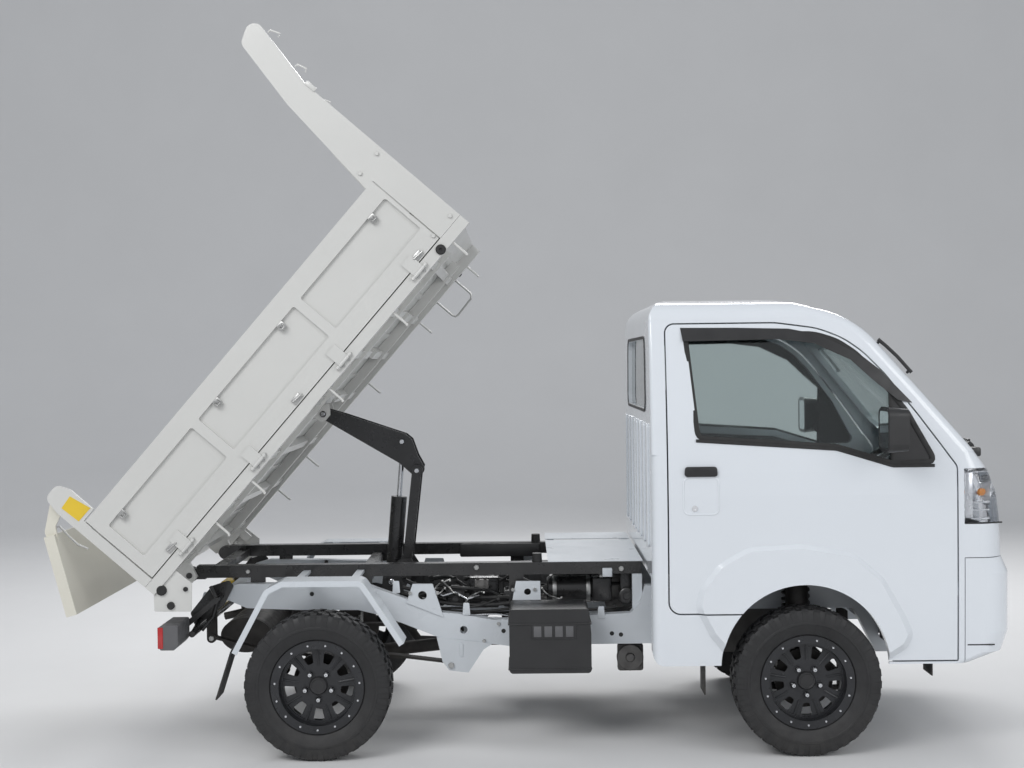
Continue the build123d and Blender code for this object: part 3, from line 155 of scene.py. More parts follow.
def surface(colour, rough, metal=0.0, spread=0.10, grain=9.0, bump=0.02, bump_scale=300.0,
            coat=0.0, dust=0.0, dust_height=0.5, rough_spread=0.12, peel=0.0):
    """A solid finish: broad colour drift, fine bump, varied gloss, faint dust low down."""
    material, tree, shader = blank(colour, {"Roughness": rough, "Metallic": metal,
                                            "Coat Weight": coat, "Coat Roughness": 0.08})
    drift = ranged(tree, spot_noise(tree, grain), "Fac", 0, 1)
    tone = mixed(tree, drift, "Result", dull(colour, 1 - spread), dull(colour, 1 + spread * 0.4))
    if dust:
        split = node(tree, "SeparateXYZ")
        link(tree, node(tree, "NewGeometry"), "Position", split, "Vector")
        low = ranged(tree, split, "Z", dust, 0.0, 0.0, dust_height)
        speck = ranged(tree, spot_noise(tree, 26.0, 6.0), "Fac", 0.15, 1.0, 0.35, 0.65)
        times = node(tree, "Math")
        times.operation = "MULTIPLY"
        link(tree, low, "Result", times, 0)
        link(tree, speck, "Result", times, 1)
        tone = mixed(tree, times, "Value", tone, DUST)
    tree.links.new(tone.outputs[2], shader.inputs["Base Color"])
    gloss = ranged(tree, spot_noise(tree, grain * 3), "Fac",
                   max(rough - rough_spread, 0.02), min(rough + rough_spread, 1))
    link(tree, gloss, "Result", shader, "Roughness")
    fine = relief(tree, bump_scale, 3.0, bump)
    if peel:
        link(tree, relief(tree, 60.0, 2.0, peel), "Normal", fine, "Normal")
    link(tree, fine, "Normal", shader, "Normal")
    return material


def clear(colour, rough=0.02):
    """Glass or a clear lens, its gloss a little uneven."""
    material, tree, shader = blank(colour, {"Roughness": rough, "IOR": 1.45,
                                            "Transmission Weight": 1.0})
    smear = ranged(tree, spot_noise(tree, 7.0), "Fac", rough, rough + 0.04)
    link(tree, smear, "Result", shader, "Roughness")
    return material


DUST = (0.30, 0.27, 0.23)
PAINT = {
    "cab_white": surface((0.70, 0.735, 0.775), 0.20, spread=0.012, coat=0.7, bump=0.004, grain=1.6,
                         rough_spread=0.03, peel=0.003),
    # The bed's warm white paint is set darker and greyer: painted shade, for the shadow the bed
    # stands in.
    "bed_white_painted_shade": surface((0.585, 0.585, 0.565), 0.34, spread=0.03, coat=0.2, bump=0.012,
                         peel=0.012, grain=2.2, rough_spread=0.06),
    "gate_cream": surface((0.66, 0.64, 0.56), 0.36, spread=0.04, coat=0.15, bump=0.015, peel=0.015,
                          grain=2.2, rough_spread=0.06),
    "frame_white": surface((0.60, 0.635, 0.67), 0.32, spread=0.03, coat=0.25, dust=0.10,
                           dust_height=0.7, bump=0.012, grain=3.0, rough_spread=0.06),
    "frame_black": surface((0.018, 0.018, 0.019), 0.32, spread=0.3, coat=0.25, bump=0.04, dust=0.1,
                           dust_height=0.9),
    "dark_steel": surface((0.045, 0.042, 0.040), 0.55, metal=0.5, spread=0.4, bump=0.12,
                          bump_scale=120, dust=0.12),
    "cast_metal": surface((0.16, 0.155, 0.15), 0.5, metal=0.7, spread=0.35, bump=0.2,
                          bump_scale=160),
    "black_plastic": surface((0.022, 0.022, 0.023), 0.42, spread=0.2, bump=0.15, bump_scale=900),
    "grey_plastic": surface((0.11, 0.11, 0.115), 0.55, spread=0.12, bump=0.2, bump_scale=900),
    "black_rubber": surface((0.016, 0.016, 0.016), 0.6, spread=0.25, bump=0.1, bump_scale=500,
                            dust=0.2),
    "tyre_rubber": surface((0.019, 0.019, 0.020), 0.60, spread=0.25, bump=0.15, bump_scale=420,
                           dust=0.05, dust_height=0.3),
    "wheel_black": surface((0.024, 0.025, 0.028), 0.36, metal=0.35, spread=0.2, bump=0.04,
                           coat=0.25),
    "bright_steel": surface((0.72, 0.73, 0.75), 0.18, metal=1.0, spread=0.08, bump=0.03),
    "zinc": surface((0.50, 0.50, 0.49), 0.38, metal=1.0, spread=0.15, bump=0.05),
    "seat_cloth": surface((0.075, 0.076, 0.082), 0.9, spread=0.25, bump=0.5, bump_scale=1400,
                          rough_spread=0.05),
    "red_lens": surface((0.42, 0.012, 0.012), 0.12, coat=0.8),
    "amber_lens": surface((0.80, 0.28, 0.03), 0.12, coat=0.8),
    "silver": surface((0.80, 0.81, 0.83), 0.22, metal=0.5, spread=0.08),
    "yellow_plate": surface((0.72, 0.50, 0.03), 0.4, spread=0.08, coat=0.3),
    "mirror_face": surface((0.85, 0.88, 0.90), 0.03, metal=1.0, spread=0.01, bump=0.0,
                           rough_spread=0.01),
    "glass": clear((0.80, 0.87, 0.86)),
    "clear_lens": clear((0.95, 0.97, 1.0), rough=0.03),
}
for name, paint in PAINT.items():
    paint.name = name

# CAD nodes of each finish, by name or by its start
FINISH = {
    "frame_white": ("chassis_frame", "rear_fenders"),
    "frame_black": ("hoist_subframe", "lift_arm", "tension_link", "cylinder_barrel"),
    "black_rubber": ("bed_stops", "mud_flaps"),
    "dark_steel": ("rear_axle", "leaf_springs", "front_suspension", "propeller_shaft", "fuel_tank",
                   "muffler", "wheelhouses", "knuckle_"),
    "cast_metal": ("engine_block",),
    "black_plastic": ("battery_box", "steering_wheel", "mirror_"),
    "grey_plastic": ("tail_lamps", "dashboard"),
    "cab_white": ("cab_shell", "front_bumper", "door_left", "door_right"),
    "clear_lens": ("headlamps",),
    "glass": ("windscreen", "rear_window", "door_glass_"),
    "seat_cloth": ("seats",),
    "bed_white_painted_shade": ("bed_floor", "bed_underframe", "bed_headboard", "bed_rear_posts", "side_gate_"),
    "gate_cream": ("tailgate",),
    "bright_steel": ("cylinder_rod",),
    "tyre_rubber": ("tyre_",),
    "wheel_black": ("rim_",),
}
for name, solid in nodes.items():
    finish = next(kind for kind, starts in FINISH.items() if name.startswith(starts))
    for place in solid.material_slots:
        place.material = PAINT[finish]


# Mesh pieces

def turns(count, shift=0.0):
    """Angles of so many places round a circle."""
    return [2 * pi * (i + shift) / count for i in range(count)]


def heading(path, i, close):
    """Direction of a path of vectors at its point i."""
    before = path[i - 1] if i or close else path[0]
    after = path[(i + 1) % len(path)] if i < len(path) - 1 or close else path[-1]
    return (after - before).normalized()


def across(path, i, close):
    """Direction square to a flat path at its point i."""
    run = heading(path, i, close)
    return Vector((-run.y, run.x))


def span(hand, *halves):
    """Low and high y between two half widths on one side."""
    return sorted(hand * half for half in halves)


class Piece:
    """One joined mesh that rides on a body, drawn in a frame's millimetres."""

    def __init__(self, name, finish, body="chassis", place=TRUCK):
        self.name, self.body, self.finish, self.place = name, body, finish, place
        self.mesh = bmesh.new()

    def add(self, points, faces):
        """Faces between points, each face a row of their numbers."""
        verts = [self.mesh.verts.new(Vector(p)) for p in points]
        for face in faces:
            self.mesh.faces.new([verts[i] for i in face])

    def loft(self, rings, close=False):
        """Skin over rings of points, with flat ends unless the last ring meets the first."""
        size, last = len(rings[0]), len(rings) - 1
        faces = [(a * size + k, a * size + (k + 1) % size,
                  (a + 1) % len(rings) * size + (k + 1) % size, (a + 1) % len(rings) * size + k)
                 for a in range(last + close) for k in range(size)]
        if not close:
            faces += [range(size)[::-1], range(last * size, last * size + size)]
        self.add([point for ring in rings for point in ring], faces)

    def join(self, part, bevel):
        """Take in a finished part, its edges rounded."""
        if bevel:
            bmesh.ops.bevel(part, geom=part.edges[:], offset=bevel, segments=2, profile=0.5,
                            affect="EDGES")
        part.verts.index_update()
        self.add([v.co.copy() for v in part.verts],
                 [[v.index for v in f.verts] for f in part.faces])
        part.free()

    def box(self, low, high, bevel=0.0):
        """Block between two corners."""
        part = bmesh.new()
        bmesh.ops.create_cube(part, size=1)
        bmesh.ops.scale(part, vec=Vector(high) - Vector(low), verts=part.verts)
        bmesh.ops.translate(part, vec=(Vector(high) + Vector(low)) / 2, verts=part.verts)
        self.join(part, bevel)

    def side_box(self, xs, halves, zs, hand, bevel=0.0):
        """Block on one side of the truck, between two half widths."""
        self.box(*zip(xs, span(hand, *halves), zs), bevel=bevel)

    def plate(self, outline, low, high, axis="y", bevel=0.0):
        """Flat outline pushed from low to high along an axis; outline is in the other two."""
        def lift(point, h):
            a, b = point
            return {"x": (h, a, b), "y": (a, h, b), "z": (a, b, h)}[axis]
        part = bmesh.new()
        first = [part.verts.new(lift(p, low)) for p in outline]
        second = [part.verts.new(lift(p, high)) for p in outline]
        count = len(outline)
        part.faces.new(first)
        part.faces.new(second[::-1])
        for i in range(count):
            j = (i + 1) % count
            part.faces.new((first[i], second[i], second[j], first[j]))
        bmesh.ops.recalc_face_normals(part, faces=part.faces)
        self.join(part, bevel)

    def lathe(self, profile, centre, axis, sides=32):
        """Turned form: profile of (distance along the axis, radius) from a centre."""
        axis = Vector(axis).normalized()
        side = axis.orthogonal().normalized()
        other = axis.cross(side)
        rings, points, faces = [], [], []
        for along, radius in profile:
            middle = Vector(centre) + axis * along
            first = len(points)
            if radius < 1e-6:
                rings.append([first] * sides)
                points.append(middle)
            else:
                rings.append(range(first, first + sides))
                points += [middle + (side * cos(turn) + other * sin(turn)) * radius
                           for turn in turns(sides)]
        for low, high in zip(rings, rings[1:]):
            for i in range(sides):
                j = (i + 1) % sides
                face = list(dict.fromkeys((low[i], low[j], high[j], high[i])))
                if len(face) > 2:
                    faces.append(face)
        self.add(points, faces)

    def rod(self, start, end, radius, sides=16, bevel=0.0):
        """Round bar between two points, its ends closed."""
        run = Vector(end) - Vector(start)
        length = run.length
        b = min(bevel, radius * 0.9, length / 2)
        if b:
            profile = ((0, 0), (0, radius - b), (b, radius), (length - b, radius),
                       (length, radius - b), (length, 0))
        else:
            profile = ((0, 0), (0, radius), (length, radius), (length, 0))
        self.lathe(profile, start, run, sides)

    def tube(self, points, radius, sides=10, close=False):
        """Round tube that follows the points."""
        path = [Vector(p) for p in points]
        rings, normal = [], None
        for i, point in enumerate(path):
            run = heading(path, i, close)
            normal = run.orthogonal() if normal is None else normal - run * normal.dot(run)
            normal.normalize()
            other = run.cross(normal)
            rings.append([point + (normal * cos(turn) + other * sin(turn)) * radius
                          for turn in turns(sides)])
        self.loft(rings, close)

    def hexagon(self, centre, axis, width, height):
        """Hexagonal nut or bolt head standing on a face."""
        radius = width / sqrt(3)
        chamfer = height * 0.18
        self.lathe(((0, 0), (0, radius), (height - chamfer, radius), (height, radius * 0.86),
                    (height, 0)), centre, axis, 6)

    def done(self, smooth=40.0, replaces=()):
        """Turn the drawing into an object that rides on its body."""
        bmesh.ops.transform(self.mesh, matrix=self.place, verts=self.mesh.verts)
        bmesh.ops.remove_doubles(self.mesh, verts=self.mesh.verts, dist=1e-6)
        bmesh.ops.recalc_face_normals(self.mesh, faces=self.mesh.faces)
        data = bpy.data.meshes.new(self.name)
        self.mesh.to_mesh(data)
        self.mesh.free()
        data.materials.append(PAINT[self.finish])
        data.shade_smooth()
        data.set_sharp_from_angle(angle=radians(smooth))
        shape = bpy.data.objects.new(self.name, data)
        scene.collection.objects.link(shape)
        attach(shape, self.body)
        for replaced in replaces:
            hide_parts(replaced)
        return shape


def arc_half(low, mid, high, z):
    """Half width at a height on the arc through three (half width, height) points."""
    (y1, z1), (y2, z2), (y3, z3) = low, mid, high
    turn = 2 * (y1 * (z2 - z3) + y2 * (z3 - z1) + y3 * (z1 - z2))
    s1, s2, s3 = y1**2 + z1**2, y2**2 + z2**2, y3**2 + z3**2
    centre_y = (s1 * (z2 - z3) + s2 * (z3 - z1) + s3 * (z1 - z2)) / turn
    centre_z = (s1 * (y3 - y2) + s2 * (y1 - y3) + s3 * (y2 - y1)) / turn
    return centre_y + sqrt(hypot(y1 - centre_y, z1 - centre_z)**2 - (z - centre_z)**2)


def cab_half(z):
    """Half width of the cab's side at a height."""
    if z < 1030:
        return arc_half((700, 342), (711, 700), (714, 1030), z)
    return arc_half((714, 1030), (685, 1380), (630, 1690), z)


# Wheels: tyre with tread, bolts, nuts and caps

CORNERS = {"front_right": (WHEELBASE, -1), "front_left": (WHEELBASE, 1),
           "rear_right": (0, -1), "rear_left": (0, 1)}
TREAD_BLOCKS = 38


def tyre(corner, axle, hand):
    """Tyre with a stepped sidewall and a blocky tread, out to the CAD tyre's radius."""
    centre = (axle, hand * TRACK / 2, TYRE_RADIUS)
    piece = Piece(f"tread_{corner}", "tyre_rubber", f"wheel_{corner}")
    base = TYRE_RADIUS - 9
    wall = ((60, 167), (60, 183), (66, 187), (72, 200), (77, 214), (80, 226), (82, 228),
            (82, 236), (80.5, 238), (80, 250), (78, 262), (75, 272), (70, 281), (58, base),
            (30, base + 1))
    profile = [(-y, r) for y, r in wall] + [(0, base + 1.5)] + [(y, r) for y, r in wall[::-1]]
    profile += [(48, 167), (62, 268), (0, 276), (-62, 268), (-48, 167), (-60, 167)]
    piece.lathe(profile, centre, (0, 1, 0), 96)
    for turn in turns(TREAD_BLOCKS):
        for row, (inner, outer, long, skew) in enumerate(((46, 80, 30, 0), (8, 42, 33, 6))):
            for way in (-1, 1):
                shift = (0.25 if way > 0 else -0.25) + 0.5 * row
                block_turn = turn + shift * 2 * pi / TREAD_BLOCKS
                block(piece, centre, block_turn, way, inner, outer, long, skew, base)
    piece.done(smooth=30, replaces=(f"tyre_{corner}",))


def block(piece, centre, turn, way, inner, outer, long, skew, base):
    """One tread block; the outer ones wrap down over the shoulder."""
    def at(y, along, radius):
        angle = turn + along / TYRE_RADIUS
        return Vector(centre) + Vector((radius * sin(angle), way * y, radius * cos(angle)))
    tip = TYRE_RADIUS - 0.2
    if outer > 60:
        section = ((inner, base - 6, tip), (outer - 14, base - 8, tip - 2),
                   (outer - 3, base - 22, tip - 12), (outer + 1, base - 40, base - 30))
    else:
        section = ((inner, base - 6, tip), (outer, base - 6, tip))
    low, high = [], []
    for k, (y, bottom, top) in enumerate(section):
        drift = skew * (y - inner) / 20
        width = long / 2 * (1 - 0.05 * k)
        low.append((at(y, drift - width, bottom), at(y, drift + width, bottom)))
        high.append((at(y, drift - width + 1.5, top), at(y, drift + width - 1.5, top)))
    points = [p for pair in low + high for p in pair]
    n = len(section)
    faces = []
    for k in range(n - 1):
        a, b = 2 * k, 2 * k + 2
        c, d = 2 * n + a, 2 * n + b
        faces += [(c, c + 1, d + 1, d), (a, c, d, b), (a + 1, b + 1, d + 1, c + 1)]
    faces += [(0, 1, 2 * n + 1, 2 * n), (2 * n - 2, 4 * n - 2, 4 * n - 1, 2 * n - 1)]
    piece.add(points, faces)


for corner, (axle, hand) in CORNERS.items():
    def on_wheel(turn, radius, half):
        """Place at an angle, a radius and a half width of this wheel."""
        return axle + radius * sin(turn), hand * half, TYRE_RADIUS + radius * cos(turn)

    tyre(corner, axle, hand)
    body = f"wheel_{corner}"
    out = (0, hand, 0)
    face = TRACK / 2 + 66
    disc = TRACK / 2 + 26
    studs = Piece(f"ring_bolts_{corner}", "bright_steel", body)
    for turn in turns(15, 0.5):
        studs.lathe(((0, 0), (0, 5.6), (2.2, 5.4), (4.2, 3.6), (4.6, 0)),
                    on_wheel(turn, RING_BOLT_CIRCLE, face), out, 12)
    for turn in turns(5, 0.5):
        studs.lathe(((0, 0), (0, 11), (3, 11), (6, 9.4), (17, 9.4), (20, 7), (20, 4.5), (12, 4.2),
                     (12, 0)), on_wheel(turn, NUT_CIRCLE, disc), out, 24)
    studs.done()
    cap = Piece(f"centre_cap_{corner}", "black_plastic", body)
    cap.lathe(((0, 0), (0, 36), (5, 36), (9, 33), (12, 31), (12, 27), (10, 25), (10.5, 0)),
              on_wheel(0, 0, disc), out, 40)
    cap.done()
    seats = Piece(f"nut_seats_{corner}", "wheel_black", body)
    for turn in turns(5, 0.5):
        seats.lathe(((0, 15), (4, 15), (4, 12), (0, 11.5)), on_wheel(turn, NUT_CIRCLE, disc), out,
                    24)
    for turn in turns(9, 0.5):
        seats.tube((on_wheel(pi - turn, 80, disc), on_wheel(pi - turn, 142, disc + 2)), 4.2, 8)
    seats.lathe(((0, 148), (5, 147), (5, 141), (0, 140)), on_wheel(0, 0, disc), out, 64)
    seats.done()


# Helpers for trim that follows the cab's skin and for outlines with rounded corners

def rounded(points, radii, close=True, steps=5):
    """Polyline with its corners turned into arcs; radii is one number or one for each point."""
    count = len(points)
    if not isinstance(radii, (tuple, list)):
        radii = [radii] * count
    path = []
    for i, point in enumerate(points):
        here = Vector(point)
        if not close and i in (0, count - 1) or radii[i] <= 0:
            path.append(tuple(here))
            continue
        before = Vector(points[i - 1])
        after = Vector(points[(i + 1) % count])
        a, b = (before - here), (after - here)
        half = a.angle(b) / 2
        cut = min(radii[i] / max(abs(sin(half) / max(cos(half), 1e-6)), 1e-6),
                  a.length * 0.48, b.length * 0.48)
        start, end = here + a.normalized() * cut, here + b.normalized() * cut
        for k in range(steps + 1):
            t = k / steps
            path.append(tuple(start * (1 - t)**2 + here * 2 * t * (1 - t) + end * t**2))
    return path


def rect(low, high, radius):
    """Rectangle between two corners, its corners rounded."""
    (a, b), (c, d) = low, high
    return rounded(((a, b), (c, b), (c, d), (a, d)), radius)


def skin(z, hand, rise=0.0):
    """Half width of the cab's side at a height, with its sign."""
    return hand * (cab_half(z) + rise)


def bead(piece, hand, path, width, rise, sink=2.0, close=False):
    """Raised strip of trim along a path of (station, height) on the cab's side."""
    section = ((-0.5, -sink), (-0.5, rise * 0.55), (-0.28, rise), (0.28, rise), (0.5, rise * 0.55),
               (0.5, -sink))
    path = [Vector(p) for p in path]
    rings = []
    for i, here in enumerate(path):
        spots = [(here + across(path, i, close) * part * width, lift) for part, lift in section]
        rings.append([(x, skin(z, hand, lift), z) for (x, z), lift in spots])
    piece.loft(rings, close)


def ring_on(piece, path, at, width, rise):
    """Raised closed strip on a rearward face: path in (y, z), the face at station at."""
    path = [Vector(p) for p in path]
    rings = []
    for i, here in enumerate(path):
        spots = [(here + across(path, i, True) * part * width, lift)
                 for part, lift in ((-0.5, 0), (-0.4, rise), (0.4, rise), (0.5, 0))]
        rings.append([(at - lift, y, z) for (y, z), lift in spots])
    piece.loft(rings, close=True)


def pillow(piece, outline, middle, half, stations=14, pinch=0.10):
    """Stuffed form: a side outline carried across, drawn in toward its ends."""
    centre = sum((Vector(p) for p in outline), Vector((0, 0))) / len(outline)
    rings = []
    for i in range(stations + 1):
        t = -cos(pi * i / stations)
        grow = max(1 - abs(t)**5, 0.0)**0.5
        scale = (1 - pinch) + pinch * grow - 0.25 * pinch * (1 - t * t)
        if i in (0, stations):
            scale = 1 - 2.2 * pinch
        drawn = [centre + (Vector(p) - centre) * scale for p in outline]
        rings.append([(x, middle + half * t, z) for x, z in drawn])
    piece.loft(rings)


HANDS = {"right": -1, "left": 1}
WINDOW = ((1486, 1236), (2022, 1198), (2240, 1130), (2402, 1134), (2296, 1330), (2176, 1487),
          (2106, 1560), (2036, 1608), (1950, 1636), (1446, 1640))
WINDOW_ROUND = (34, 60, 30, 24, 200, 200, 200, 200, 200, 24)
# upper and lower edge of the black rain visor over the door window, from rear to front
VISOR_TOP = ((1428, 1665), (1640, 1663), (1850, 1657), (1986, 1630), (2104, 1570), (2202, 1490),
             (2318, 1364))
VISOR_LOW = ((1436, 1612), (1640, 1614), (1810, 1616), (1946, 1598), (2084, 1533), (2170, 1452),
             (2262, 1374))

for name, hand in HANDS.items():
    body = f"door_{name}"
    seal = Piece(f"window_seal_{name}", "black_rubber", body)
    bead(seal, hand, rounded(WINDOW, WINDOW_ROUND), 20, 3.0, sink=9, close=True)
    bead(seal, hand, rounded(((1478, 1226), (2020, 1188), (2236, 1121), (2396, 1121)), 60, False),
         12, 5.0, sink=3)
    bead(seal, hand, ((2236, 1140), (2236, 1300), (2236, 1400)), 15, 2.5, sink=9)
    seal.done()

    visor = Piece(f"rain_visor_{name}", "black_plastic", body)
    rings, steps = [], 6
    for (x1, z1), (x2, z2) in zip(VISOR_TOP, VISOR_LOW):
        ring = []
        for lift, order in ((1.5, range(steps)), (-1.5, range(steps)[::-1])):
            for k in order:
                t = k / (steps - 1)
                z = z1 + (z2 - z1) * t
                ring.append((x1 + (x2 - x1) * t, skin(z, hand, lift + 11 * t), z))
        rings.append(ring)
    visor.loft(rings)
    visor.done()

    handle = Piece(f"door_handle_{name}", "black_plastic", body)
    handle.plate(rounded(((1430, 1088), (1560, 1088), (1556, 1126), (1434, 1126)), 12),
                 *sorted((skin(1106, hand, -4), skin(1106, hand, 11))), bevel=2.5)
    handle.done()
    dish = Piece(f"handle_dish_{name}", "cab_white", body)
    bead(dish, hand, rect((1427, 941), (1563, 1084), 26), 7, 2.2, close=True)
    dish.done()
    lock = Piece(f"door_lock_{name}", "silver", body)
    lock.lathe(((-3, 0), (-3, 12), (3, 12), (5, 10), (5, 4), (2.5, 3), (2.5, 0)),
               (1470, skin(964, hand), 964), (0, hand, 0), 28)
    lock.done()

    face = Piece(f"mirror_face_{name}", "mirror_face", body)
    face.plate(rect((hand * 742, 1196), (hand * 878, 1336), 22), 2177.6, 2179.4, axis="x")
    face.done()
    rim = Piece(f"mirror_rim_{name}", "black_plastic", body)
    ring_on(rim, rect((hand * 736, 1190), (hand * 884, 1342), 26), 2179.8, 9, 4)
    rim.tube(((2230, hand * 700, 1200), (2232, hand * 722, 1200), (2226, hand * 738, 1212)), 15, 16)
    rim.done()

    pillar = Piece(f"pillar_bar_{name}", "black_plastic")
    pillar.tube([(x, skin(z, hand, -34), z)
                 for x, z in ((2206, 1612), (2236, 1585), (2276, 1545), (2330, 1480))], 7, 10)
    for x, z in ((2212, 1606), (2322, 1490)):
        pillar.rod((x - 6, skin(z, hand, -46), z - 10), (x, skin(z, hand, -34), z), 6, 10)
    pillar.done()

    hinges = Piece(f"door_hinges_{name}", "cab_white", body)
    for z in (640, 1010):
        hinges.rod((2482, hand * 690, z - 26), (2482, hand * 690, z + 26), 8, 14, bevel=2)
    hinges.done()

    inner = Piece(f"door_trim_{name}", "grey_plastic", body)
    inner.plate(rounded(((1470, 700), (1530, 860), (1900, 880), (2240, 720), (2430, 720),
                         (2430, 1100), (2230, 1110), (2010, 1170), (1480, 1200)), 40),
                *span(hand, 642, 650), bevel=2)
    inner.side_box((1640, 2040), (600, 645), (980, 1010), hand, bevel=9)
    inner.done()
    crank = Piece(f"window_crank_{name}", "black_plastic", body)
    crank.rod((2160, hand * 641, 930), (2160, hand * 618, 930), 16, 20, bevel=3)
    crank.tube(((2160, hand * 622, 930), (2120, hand * 616, 962), (2085, hand * 612, 990)), 6, 10)
    crank.rod((2085, hand * 614, 990), (2085, hand * 588, 990), 9, 14, bevel=3)
    crank.done()


# Nose: wipers, grille and lamps

def bow(y, setback=0.0):
    """Station of the bowed nose at a half width."""
    return NOSE_REACH - setback - (NOSE_BOW - sqrt(NOSE_BOW**2 - y * y))


wipers = Piece("wipers", "black_plastic")
for y0, y1 in ((-560, -60), (60, 560)):
    base = (bow(y0, 128), y0, 1186)
    wipers.rod((base[0] - 26, y0, 1166), (base[0] + 6, y0, 1196), 15, 18, bevel=3)
    wipers.tube((base, (bow(y0 + 150, 118), y0 + 150, 1205), (bow(y0 + 300, 118), y0 + 300, 1212)),
                4.5, 8)
    wipers.tube([(bow(y, 120), y, 1204 + 0.012 * (y - y0)) for y in range(y0 + 60, y1 + 1, 40)],
                5.5, 8)
wipers.done()
cowl = Piece("cowl_panel", "black_plastic")
for hand in (-1, 1):
    cowl.side_box((2536, 2592), (600, 664), (1150, 1186), hand, bevel=8)
cowl.done()

grille = Piece("nose_trim", "black_plastic")
for z in (808, 826):
    grille.tube([(bow(y, 16), y, z) for y in range(-380, 381, 40)], 4, 8)
grille.done()

LAMPS = ((492, 1000, 62), (604, 1006, 48))
for name, hand in HANDS.items():
    bowl = Piece(f"lamp_bowls_{name}", "silver")
    for y, z, radius in LAMPS:
        centre = (2560, hand * y, z)
        bowl.lathe(((0, 14), (8, 30), (26, radius * 0.8), (52, radius), (52, radius - 3),
                    (26, radius * 0.8 - 3), (10, 27), (2, 10)), centre, (1, 0, 0), 40)
        bowl.rod((2562, hand * y, z), (2598, hand * y, z), 9, 18, bevel=4)
    bowl.side_box((2546, 2552), (424, 655), (910, 1092), hand, bevel=2)
    for z in (906, 940, 970, 1086):
        bowl.side_box((2546, 2610), (424, 655), (z, z + 6), hand, bevel=1)
    bowl.side_box((2519, 2550), (640, 672), (912, 1090), hand, bevel=2)
    bowl.done()
    amber = Piece(f"amber_lamp_{name}", "amber_lens")
    amber.lathe(((0, 9), (6, 15), (14, 13), (17, 0)), (2578, hand * 652, 1012), (0.5, hand, 0), 24)
    amber.done()
    under = Piece(f"lamp_seal_{name}", "black_rubber")
    under.tube([(2512, hand * 706, 897)] + [(2512 + k * 30, hand * (706 - k * k * 0.9), 896)
                                            for k in range(1, 6)], 3.2, 8)
    under.done()

    # Black strip along the bumper: painted shade in its groove.
    groove_shade = Piece(f"bumper_groove_shade_{name}", "black_rubber")
    bead(groove_shade, hand, ((2520, 424), (2580, 424), (2625, 424)), 5, 0.6, sink=1)
    groove_shade.done()

# Cab's back: pressed ribs and the rear window's seal
ribs = Piece("cab_back_ribs", "cab_white")
for y in (-560, -390, -220, -60, 60, 220, 390, 560):
    ribs.plate(rect((y - 24, 800), (y + 24, 1290), 20), 1296.5, 1305, axis="x", bevel=3)
ribs.done()
rear_seal = Piece("rear_window_seal", "black_rubber")
ring_on(rear_seal, rounded(((-478, 1337), (478, 1337), (448, 1633), (-448, 1633)), 56), 1304.5, 14,
        4)
rear_seal.done()

# Seats and cabin
CUSHIONS = (("seat_base", rounded(((1508, 738), (1985, 738), (2040, 765), (2049, 806), (2015, 846),
                                   (1800, 843), (1560, 832), (1506, 815)), 22), 238),
            ("seat_back", rounded(((1404, 800), (1468, 772), (1504, 826), (1476, 1050),
                                   (1444, 1284), (1404, 1298), (1370, 1280), (1384, 1040)), 20),
             236),
            ("headrest", rounded(((1392, 1314), (1434, 1314), (1440, 1366), (1430, 1418),
                                  (1392, 1418), (1384, 1366)), 14), 116))
for name, hand in HANDS.items():
    middle = hand * SEAT_MIDDLE
    for part, outline, half in CUSHIONS:
        cushion = Piece(f"{part}_{name}", "seat_cloth")
        pillow(cushion, outline, middle, half)
        if part != "headrest":
            for side in (-1, 1):
                edge = [(x, middle + side * half * 0.9, z) for x, z in outline]
                cushion.tube(edge, 3.5, 6, close=True)
        shape = cushion.done(smooth=60, replaces=("seats",))
    base = Piece(f"seat_riser_{name}", "black_plastic")
    base.box((1530, middle - 225, 702), (2000, middle + 225, 742), bevel=6)
    for side in (-60, 60):
        base.rod((1412, middle + side, 1280), (1412, middle + side, 1330), 6, 12)
    base.side_box((1480, 1560), (SEAT_MIDDLE + 232, SEAT_MIDDLE + 244), (745, 820), hand, bevel=5)
    base.done()
    belt = Piece(f"seat_belt_{name}", "black_rubber")
    y0 = hand * BELT_HALF
    points = ((1400, y0, 1450), (1412, y0 - hand * 2, 1100), (1430, y0 - hand * 4, 800))
    belt.loft([[(x - 22, y, z), (x + 22, y, z), (x + 22, y - hand * 2, z),
                (x - 22, y - hand * 2, z)] for x, y, z in points])
    belt.rod((1400, y0 - 4, 1456), (1400, y0 + 4, 1456), 14, 18)
    belt.done()

dials = Piece("instrument_hood", "black_plastic")
dials.box((2370, -440, 1035), (2470, -220, 1105), bevel=18)
for y in (-385, -330, -275):
    dials.lathe(((0, 24), (6, 24), (6, 21), (2, 20), (2, 0)), (2371, y, 1072), (-1, 0, 0), 24)
dials.box((2376, -130, 905), (2396, 130, 1000), bevel=6)
for y in (-90, -45, 0, 45, 90):
    dials.lathe(((0, 13), (10, 12), (12, 0)), (2377, y, 935), (-1, 0, 0), 18)
dials.box((2378, -540, 985), (2392, -470, 1030), bevel=4)
dials.box((2378, 300, 985), (2392, 560, 1030), bevel=4)
dials.done()
levers = Piece("levers_and_pedals", "black_plastic")
levers.lathe(((0, 60), (14, 48), (34, 26), (52, 10)), (1985, 0, 745), (0, 0, 1), 28)
levers.tube(((1985, 0, 745), (2010, 0, 850), (2022, 0, 930)), 7, 12)
levers.lathe(((0, 6), (4, 18), (18, 23), (34, 17), (40, 0)), (2022, 0, 925), (0, 0, 1), 24)
levers.tube(((1900, -30, 745), (1990, -30, 790)), 8, 12)
levers.rod((1990, -30, 790), (2070, -30, 826), 13, 16, bevel=4)
for y in (-430, -330, -240):
    levers.tube(((2560, y, 700), (2500, y, 600), (2450, y, 560)), 6, 10)
    levers.box((2430, y - 26, 530), (2444, y + 26, 590), bevel=4)
levers.done()

# Bed: hooks, latches, buffers, handle, blank plate, pins and ribs

def on_bed(name, finish, body="bed"):
    """Piece drawn in the bed's frame."""
    return Piece(name, finish, body, BED)


